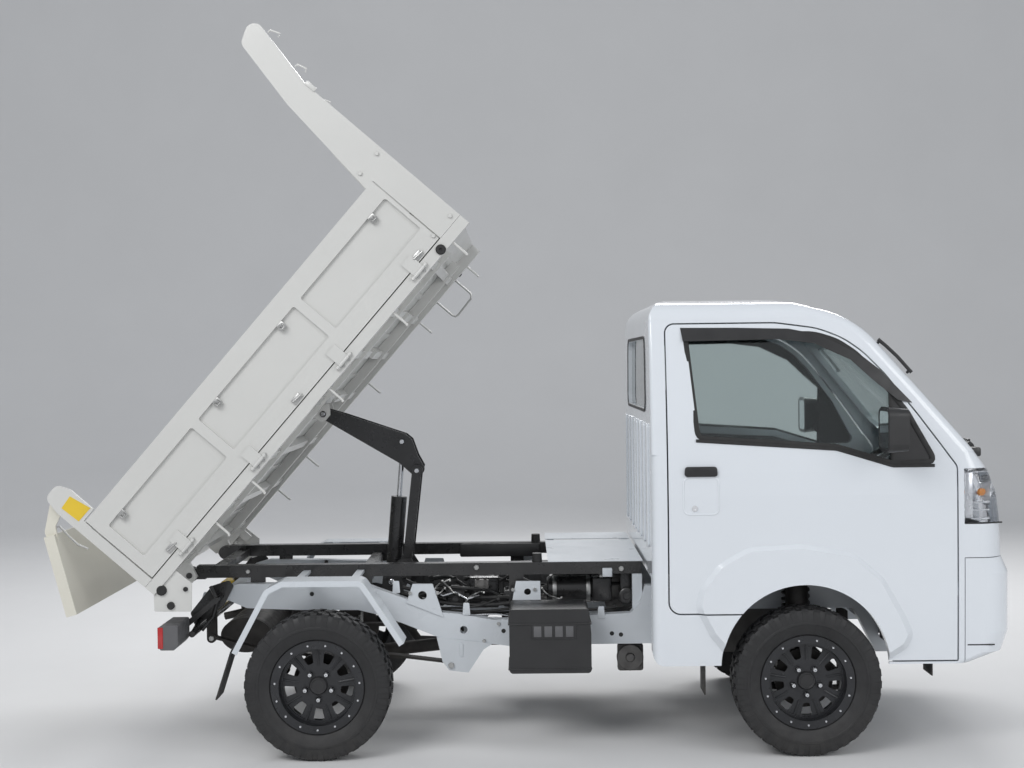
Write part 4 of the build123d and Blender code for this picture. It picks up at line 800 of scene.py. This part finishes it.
for name, hand in HANDS.items():
    gate = f"side_gate_{name}"
    hooks = on_bed(f"rope_hooks_{name}", "bed_white_painted_shade")
    for u in (310, 523, 990, 1374, 1730):
        hooks.tube([(u, hand * 716, 34), (u, hand * 718, -26), (u, hand * 720, -40),
                    (u, hand * 727, -44), (u, hand * 737, -44)], 5, 12)
    hooks.done()
    top = on_bed(f"gate_hooks_{name}", "zinc", gate)
    for u in (103, 671, 1056, 1600):
        top.plate(rect((u - 16, 306), (u + 16, 336), 5), *span(hand, 727, 730), bevel=0.8)
        top.tube([(u - 8, hand * 730, 328), (u - 8, hand * 738, 322), (u - 8, hand * 738, 312),
                  (u + 8, hand * 738, 312), (u + 8, hand * 738, 322), (u + 8, hand * 730, 328)],
                 2.6, 8)
    top.done()
    latches = on_bed(f"gate_latches_{name}", "zinc", gate)
    for u in (127, 880, 1600):
        latches.side_box((u - 22, u + 22), (728, 733), (84, 108), hand, bevel=2)
        latches.rod((u - 20, hand * 736, 99), (u + 30, hand * 737, 92), 3.6, 12, bevel=1.5)
        latches.hexagon((u - 14, hand * 733, 99), (0, hand, 0), 10, 5)
    latches.done()
    buffers = on_bed(f"buffers_{name}", "black_rubber")
    buffers.lathe(((0, 20), (8, 20), (11, 17), (11, 6), (7, 5), (7, 0)), (1678, hand * 726, 44),
                  (0, hand, 0), 28)
    for u, v, radius in ((-26, 18, 20), (-48, -48, 15), (38, -50, 9)):
        buffers.lathe(((0, radius), (7, radius), (10, radius - 3), (10, 0)), (u, hand * 720, v),
                      (0, hand, 0), 24)
    buffers.done()
    corner = on_bed(f"rear_corner_plate_{name}", "bed_white_painted_shade")
    corner.plate(rounded(((-32, 56), (68, 30), (70, -54), (-14, -124), (-108, -14)), 6),
                 *span(hand, 716, 720), bevel=1)
    corner.rod((-16, hand * 696, 20), (-16, hand * 722, 20), 8, 16, bevel=2)
    corner.side_box((20, 58), (692, 718), (-20, 32), hand, bevel=2)
    corner.done()
    guard = on_bed(f"guard_hooks_{name}", "bed_white_painted_shade")
    for (u1, v1), (u2, v2) in (((1885, 1090), (1905, 1052)), ((1852, 926), (1868, 886))):
        guard.tube([(u1, hand * 726, v1), (u1 + 12, hand * 730, v1 - 2), (u2 + 6, hand * 730, v2),
                    (u2 - 8, hand * 726, v2 - 4)], 4, 10)
    guard.side_box((1824, 1842), (726, 733), (806, 856), hand, bevel=3)
    for u, v in ((1700, 470), (1800, 470), (1700, 100), (1800, 100)):
        guard.hexagon((u, hand * 728, v), (0, hand, 0), 15, 7)
    guard.done()

    sides = on_bed(f"rail_fittings_{name}", "zinc")
    for u in (170, 600, 1110, 1560):
        sides.rod((u - 44, hand * 736, 51), (u + 44, hand * 736, 51), 4.2, 14, bevel=1)
        for k in (-16, 16):
            sides.hexagon((u + k, hand * 728, 40), (0, hand, 0), 10, 5)
    sides.done()

bar = on_bed("side_handle_left", "zinc")
bar.tube(((1642, 704, 30), (1642, 706, -64), (1637, 706, -79), (1622, 706, -86), (1524, 706, -90),
          (1509, 706, -84), (1504, 706, -68), (1504, 704, 30)), 5, 12)
bar.done()
sticker = on_bed("yellow_plate", "yellow_plate")
sticker.plate(((24, 523), (41, 433), (-28, 434), (-32, 518)), -729.2, -727.8)
sticker.done()

ends = Piece("hoist_pins", "bright_steel", "lift_arm")
for x, z in ((286, 1202), (348, 1076), (-53, 1325)):
    for hand in (-1, 1):
        ends.lathe(((0, 0), (0, 10), (7, 10), (9, 8), (9, 0)), (x, hand * 66, z), (0, hand, 0), 24)
ends.done()
feet = Piece("hoist_foot_pins", "bright_steel")
for x, z in ((300, 660), (235, 600)):
    for hand in (-1, 1):
        feet.lathe(((0, 0), (0, 12), (8, 12), (10, 9), (10, 0)), (x, hand * 78, z), (0, hand, 0),
                   24)
feet.done()
under = on_bed("bed_under_ribs", "bed_white_painted_shade")
for u in (200, 465, 740, 1005, 1240, 1475, 1680):
    under.plate(rect((u - 14, -640), (u + 14, 640), 8), 70.5, 76, axis="z", bevel=1.5)
under.done()

# Tailgate: pins and rods
gate_bits = Piece("tailgate_fittings", "zinc", "tailgate", BED)
for hand in (-1, 1):
    gate_bits.lathe(((0, 15), (5, 15), (9, 11), (9, 0)), (-10, hand * 706, 558), (0, -hand, 0), 22)
gate_bits.done()
rods = Piece("tailgate_rods", "zinc", "tailgate", GATE)
for hand in (-1, 1):
    rods.tube(((-62, hand * 698, -112), (-36, hand * 689, -112), (-11, hand * 684, -163),
               (12, hand * 684, -200), (47, hand * 684, -226)), 4.2, 10)
rods.done()

# Chassis: fasteners, hoses, hydraulic unit, battery box, exhaust, pulley, flaps and springs
# half width and size of each kind of frame bolt, then their stations and heights
BOLTS = ((360, 20, (611, 697), (1206, 686)), (360, 16, (-330, 690)), (401, 22, (505, 303)),
         (380, 20, (-480, 420)),
         (401, 14, (340, 600), (452, 600), (760, 610), (850, 610), (-500, 590)),
         (395, 14, (640, 400), (700, 470), (900, 440), (1050, 440)))
bolts = Piece("frame_bolts", "zinc")
for hand in (-1, 1):
    for y, width, *spots in BOLTS:
        for x, z in spots:
            bolts.hexagon((x, hand * y, z), (0, hand, 0), width, width * 0.45)
bolts.done()
# Black discs on the frame rails: painted shade inside the rails' holes.
hole_shade = Piece("frame_hole_shade", "black_rubber")
for hand in (-1, 1):
    for x, z in ((1163, 425), (1200, 420), (-63, 600), (980, 470), (720, 440)):
        hole_shade.lathe(((-1, 0), (-1, 9), (0.6, 9), (0.6, 0)), (x, hand * 395, z), (0, hand, 0), 22)
hole_shade.done()
tabs = Piece("frame_tabs", "frame_white")
for hand in (-1, 1):
    tabs.plate(rect((539, 336), (555, 392), 7), *span(hand, 400, 404), bevel=1.5)
    for x, z in ((283, 628), (569, 535), (1120, 515)):
        tabs.plate(rounded(((x - 16, z - 28), (x + 16, z - 28), (x + 12, z + 22), (x - 12, z + 22)),
                           5), *span(hand, 395, 399), bevel=1)
    tabs.side_box((1128, 1168), (360, 384), (655, 690), hand, bevel=3)
tabs.done()

hoses = Piece("hoses", "black_rubber")
for y, z, sag, radius in ((-335, 590, 26, 7), (-322, 566, 34, 6), (-306, 610, 18, 8),
                          (-290, 545, 22, 5)):
    hoses.tube([(300 + k * 50, y - 6 * sin(k * 0.9), z - k * 5 - sag * sin(pi * k / 9))
                for k in range(10)], radius, 10)
hoses.tube(((760, -300, 560), (820, -300, 590), (880, -290, 600), (960, -280, 560),
            (1040, -280, 570), (1120, -270, 600)), 9, 10)
hoses.tube(((600, 250, 500), (700, 260, 560), (820, 270, 590), (960, 260, 560)), 9, 10)
hoses.done()
pipes = Piece("brake_pipes", "bright_steel")
for y, z in ((-338, 470), (-330, 482)):
    pipes.tube([(330 + k * 60, y, z + (34 - k * 4) + 6 * sin(k * 1.3)) for k in range(9)], 3, 8)
pipes.tube(((430, -320, 600), (470, -325, 575), (520, -318, 590), (570, -322, 560),
            (620, -318, 575)), 4, 8)
pipes.done()
unit = Piece("hydraulic_unit", "frame_black")
unit.rod((900, -250, 590), (1090, -250, 590), 52, 32, bevel=8)
unit.box((1090, -300, 540), (1170, -200, 640), bevel=8)
unit.box((910, -200, 520), (1130, -60, 640), bevel=14)
unit.lathe(((0, 34), (12, 34), (16, 28), (16, 18), (8, 16), (8, 0)), (1232, -308, 566),
           (0, -1, 0), 32)
unit.box((1205, -300, 530), (1262, -240, 660), bevel=6)
unit.done()
fittings = Piece("unit_fittings", "zinc")
for x in (925, 1065):
    fittings.lathe(((0, 53), (8, 54), (16, 53)), (x, -250, 590), (1, 0, 0), 32)
for y in (-280, -220):
    fittings.hexagon((1130, y, 640), (0, 0, 1), 22, 14)
fittings.done()
far = Piece("far_plates", "black_plastic")
far.plate(rect((514, 652), (881, 712), 10), 300, 308, bevel=2)
far.done()

battery = Piece("battery_box_lid", "black_plastic")
battery.box((741, -644, 507), (1070, -402, 514), bevel=2.5)
battery.box((741, -643, 330), (1070, -404, 336), bevel=2)
battery.box((834, -642.5, 450), (1008, -638, 512), bevel=2)
battery.done()
slots = Piece("battery_box_slots", "grey_plastic")
for x in (842, 884, 926, 968):
    slots.box((x, -644.5, 460), (x + 30, -641, 502), bevel=1.2)
slots.done()
pipe = Piece("exhaust_pipe", "dark_steel")
pipe.tube(((1150, 150, 330), (1000, 170, 300), (800, 180, 290), (500, 180, 290), (330, 180, 300),
           (240, 190, 420), (120, 200, 470), (-60, 200, 480), (-180, 190, 460), (-250, 180, 430)),
          19, 16)
pipe.tube(((-455, 200, 430), (-500, 200, 420), (-545, 200, 410)), 17, 16)
pipe.done()
pulley = Piece("belt_pulley", "cast_metal")
pulley.lathe(((0, 0), (0, 22), (6, 52), (10, 56), (14, 50), (18, 56), (22, 50), (26, 56), (30, 52),
              (30, 20), (36, 16), (36, 0)), (1246, -240, 300), (0, -1, 0), 40)
pulley.box((1196, -236, 236), (1304, -190, 350), bevel=10)
pulley.done()
flaps = Piece("front_flaps", "black_rubber")
for hand in (-1, 1):
    flaps.side_box((1502, 1508), (560, 690), (236, 372), hand, bevel=2)
    flaps.side_box((2386, 2392), (560, 680), (300, 352), hand, bevel=2)
flaps.done()

springs = Piece("coil_springs", "dark_steel")
for hand in (-1, 1):
    springs.tube([(1900 + 52 * cos(k * 0.45), hand * 468 + 52 * sin(k * 0.45), 452 + k * 1.9)
                  for k in range(96)], 6.5, 8)
springs.done()
clips = Piece("spring_clips", "zinc")
for hand in (-1, 1):
    for x in (-40, 40):
        for side in (-42, 42):
            clips.rod((x, hand * 452 + side, 270), (x, hand * 452 + side, 372), 6, 12, bevel=1.5)
            clips.hexagon((x, hand * 452 + side, 276), (0, 0, -1), 18, 10)
clips.done()

# Wiring and hoses in the bay between the rails: station and height of both ends, the middle's
# side and sag, and the radius
RUNS = {
    "black": ((310, 640, 520, 640, -300, 30, 8), (320, 560, 640, 600, -312, -24, 6),
              (350, 620, 560, 530, -280, 20, 7), (380, 540, 700, 560, -330, 26, 5),
              (420, 640, 600, 570, -260, -30, 9), (450, 590, 740, 640, -240, 36, 6),
              (520, 560, 900, 600, -270, 30, 8), (560, 630, 820, 580, -210, -26, 7),
              (640, 600, 960, 520, -300, 28, 6), (700, 560, 1100, 560, -230, 30, 9),
              (760, 640, 1000, 600, -180, 26, 8), (820, 540, 1180, 520, -310, 22, 6),
              (900, 520, 1240, 600, -200, -30, 7), (1020, 640, 1230, 540, -150, 24, 8)),
    "bright": ((430, 600, 500, 640, -322, -10, 3.5), (470, 640, 540, 580, -326, 12, 3.5),
               (390, 570, 480, 610, -334, 14, 3), (560, 545, 640, 590, -332, -16, 3.5),
               (880, 600, 960, 560, -318, 14, 3.5)),
}
for tone, finish in (("black", "black_rubber"), ("bright", "zinc")):
    wires = Piece(f"bay_runs_{tone}", finish)
    for x1, z1, x2, z2, y, sag, radius in RUNS[tone]:
        wires.tube([(x1 + (x2 - x1) * t / 12, y + 14 * sin(0.8 * t + x1 * 0.01),
                     z1 + (z2 - z1) * t / 12 - sag * sin(pi * t / 12)) for t in range(13)],
                   radius, 10)
        for x, z in ((x1, z1), (x2, z2)):
            wires.lathe(((-radius, radius * 1.5), (radius, radius * 1.5), (radius, 0)),
                        (x, y + 14 * sin(x1 * 0.01), z), (1, 0, 0.3), 12)
    wires.done()
# Small units in the bay: low and high station, side and height
BLOCKS_IN_BAY = ((330, 470, -250, -130, 520, 590, "black_plastic"),
                 (480, 560, -300, -250, 530, 610, "black_plastic"),
                 (575, 700, -250, -140, 510, 640, "frame_black"),
                 (720, 800, -290, -190, 520, 590, "black_plastic"),
                 (1150, 1230, -200, -110, 500, 640, "cast_metal"),
                 (600, 660, -320, -290, 600, 640, "cast_metal"),
                 (860, 900, -330, -280, 530, 570, "cast_metal"))
for i, (x1, x2, y1, y2, z1, z2, finish) in enumerate(BLOCKS_IN_BAY):
    unit = Piece(f"bay_block_{i}", finish)
    unit.box((x1, y1, z1), (x2, y2, z2), bevel=7)
    unit.box((x1 + 10, y1 - 5, z1 + 12), (x2 - 10, y1 + 6, z2 - 16), bevel=3)
    for x in (x1 + 14, x2 - 14):
        unit.hexagon((x, (y1 + y2) / 2, z2 - 1), (0, 0, 1), 14, 8)
    unit.lathe(((0, 15), (6, 15), (6, 11), (14, 11), (14, 0)), ((x1 + x2) / 2, y1 - 4, z1 + 26),
               (0, -1, 0), 20)
    unit.done()
tray = Piece("bay_shields", "black_plastic")
tray.plate(rounded(((300, 500), (560, 470), (1080, 470), (1240, 500), (1250, 655), (880, 660),
                    (560, 650), (300, 650)), 18), 110, 116, bevel=1.5)
for x in range(360, 1200, 105):
    tray.box((x, 104, 505), (x + 40, 112, 640), bevel=3)
tray.done()

# Rear end under the bed: black brackets, cross bar and buffer springs by the lamps
tail = Piece("tail_brackets", "frame_black")
for hand in (-1, 1):
    path = ((-540, 470), (-420, 560), (-380, 640), (-400, 662), (-470, 640), (-560, 530))
    tail.plate(rounded(path, 14), *span(hand, 404, 409), bevel=1.5)
    tail.rod((-520, hand * 404, 500), (-520, hand * 560, 470), 9, 14, bevel=2)
    tail.tube(((-470, hand * 430, 640), (-440, hand * 450, 590), (-455, hand * 460, 520),
               (-500, hand * 470, 470)), 8, 10)
    for x, z in ((-430, 600), (-480, 560)):
        tail.hexagon((x, hand * 409, z), (0, hand, 0), 18, 9)
tail.rod((-520, -560, 470), (-520, 560, 470), 13, 18, bevel=2)
tail.done()
dampers = Piece("rear_dampers", "dark_steel")
for hand in (-1, 1):
    dampers.rod((-120, hand * 330, 610), (-170, hand * 400, 300), 17, 20, bevel=3)
    dampers.rod((-100, hand * 318, 640), (-170, hand * 400, 300), 8, 14)
    dampers.lathe(((-14, 16), (14, 16), (14, 0)), (-172, hand * 404, 292), (0, 1, 0), 20)
dampers.done()

TAIL_LENSES = (("red", 610, 684, "red_lens"), ("amber", 552, 606, "amber_lens"),
               ("clear", 500, 548, "clear_lens"))
for tone, inner, outer, finish in TAIL_LENSES:
    lens = Piece(f"tail_lens_{tone}", finish)
    for hand in (-1, 1):
        lens.side_box((-626, -613), (inner, outer), (440, 520), hand, bevel=4)
    lens.done()
edge = Piece("tail_lamp_edges", "red_lens")
for hand in (-1, 1):
    edge.side_box((-624, -602), (684, 692.5), (438, 522), hand, bevel=3)
edge.done()
rear_plate = Piece("rear_blank_plate", "yellow_plate")
rear_plate.box((-566, 220, 440), (-563, 470, 560), bevel=1)
rear_plate.box((-563, 250, 545), (-520, 300, 560), bevel=2)
rear_plate.done()


# Camera, light and floor

YAW, PITCH, ROLL = radians(-0.4447), radians(-0.8197), radians(0.6963)
EYE = (0.8126, -6.2932, 1.5345)
FOCAL_PX = 1445.0
PHOTO_WIDTH = 1024


def camera():
    """Camera at the photograph's angle."""
    forward = Vector((sin(YAW) * cos(PITCH), cos(YAW) * cos(PITCH), sin(PITCH)))
    right = Vector((cos(YAW), -sin(YAW), 0))
    down = forward.cross(right)
    right, down = (cos(ROLL) * right + sin(ROLL) * down, cos(ROLL) * down - sin(ROLL) * right)
    turn = Matrix((right, -down, -forward)).transposed().to_4x4()
    data = bpy.data.cameras.new("view")
    data.sensor_width = 36
    data.lens = FOCAL_PX / PHOTO_WIDTH * data.sensor_width
    eye = bpy.data.objects.new("view", data)
    eye.matrix_world = Matrix.Translation((AXLE_X + EYE[0], EYE[1], EYE[2])) @ turn
    scene.collection.objects.link(eye)
    scene.camera = eye


def lamp(name, place, target, size, power):
    """Soft rectangular lamp aimed at a target."""
    data = bpy.data.lights.new(name, "AREA")
    data.shape = "RECTANGLE"
    data.size, data.size_y = size
    data.energy = power
    light = bpy.data.objects.new(name, data)
    aim = (Vector(target) - Vector(place)).to_track_quat("-Z", "Y")
    light.matrix_world = Matrix.Translation(place) @ aim.to_matrix().to_4x4()
    scene.collection.objects.link(light)


def floor():
    """Pale floor that curves up into a backdrop."""
    rows = [(-14.0, 0.0), (7.0, 0.0)]
    for i in range(1, 13):
        turn = i / 12 * pi / 2
        rows.append((7.0 + 4 * sin(turn), 4 - 4 * cos(turn)))
    rows.append((11.0, 14.0))
    mesh = bmesh.new()
    lines = [[mesh.verts.new((x, y, z)) for x in (-22, 22)] for y, z in rows]
    for low, high in zip(lines, lines[1:]):
        mesh.faces.new((low[0], low[1], high[1], high[0]))
    data = bpy.data.meshes.new("floor")
    mesh.to_mesh(data)
    mesh.free()
    data.shade_smooth()
    data.materials.append(surface((0.70, 0.70, 0.70), 0.8, spread=0.02, grain=1.0, bump_scale=80))
    ground = bpy.data.objects.new("floor", data)
    scene.collection.objects.link(ground)


camera()
floor()
lamp("key", (-3.5, -5.5, 5.5), (0, 0, 0.8), (4, 3), 250)
lamp("fill", (4.5, -4.5, 3.0), (0.3, 0, 0.9), (3, 3), 80)
lamp("back", (1.0, 4.5, 4.5), (0, 0, 1.0), (5, 2), 240)
world = bpy.data.worlds.new("studio")
scene.world = world
world.use_nodes = True
sky = next(n for n in world.node_tree.nodes if n.type == "BACKGROUND")
sky.inputs["Color"].default_value = (0.92, 0.95, 1.0, 1)
sky.inputs["Strength"].default_value = 0.55
scene.view_settings.view_transform = "Standard"
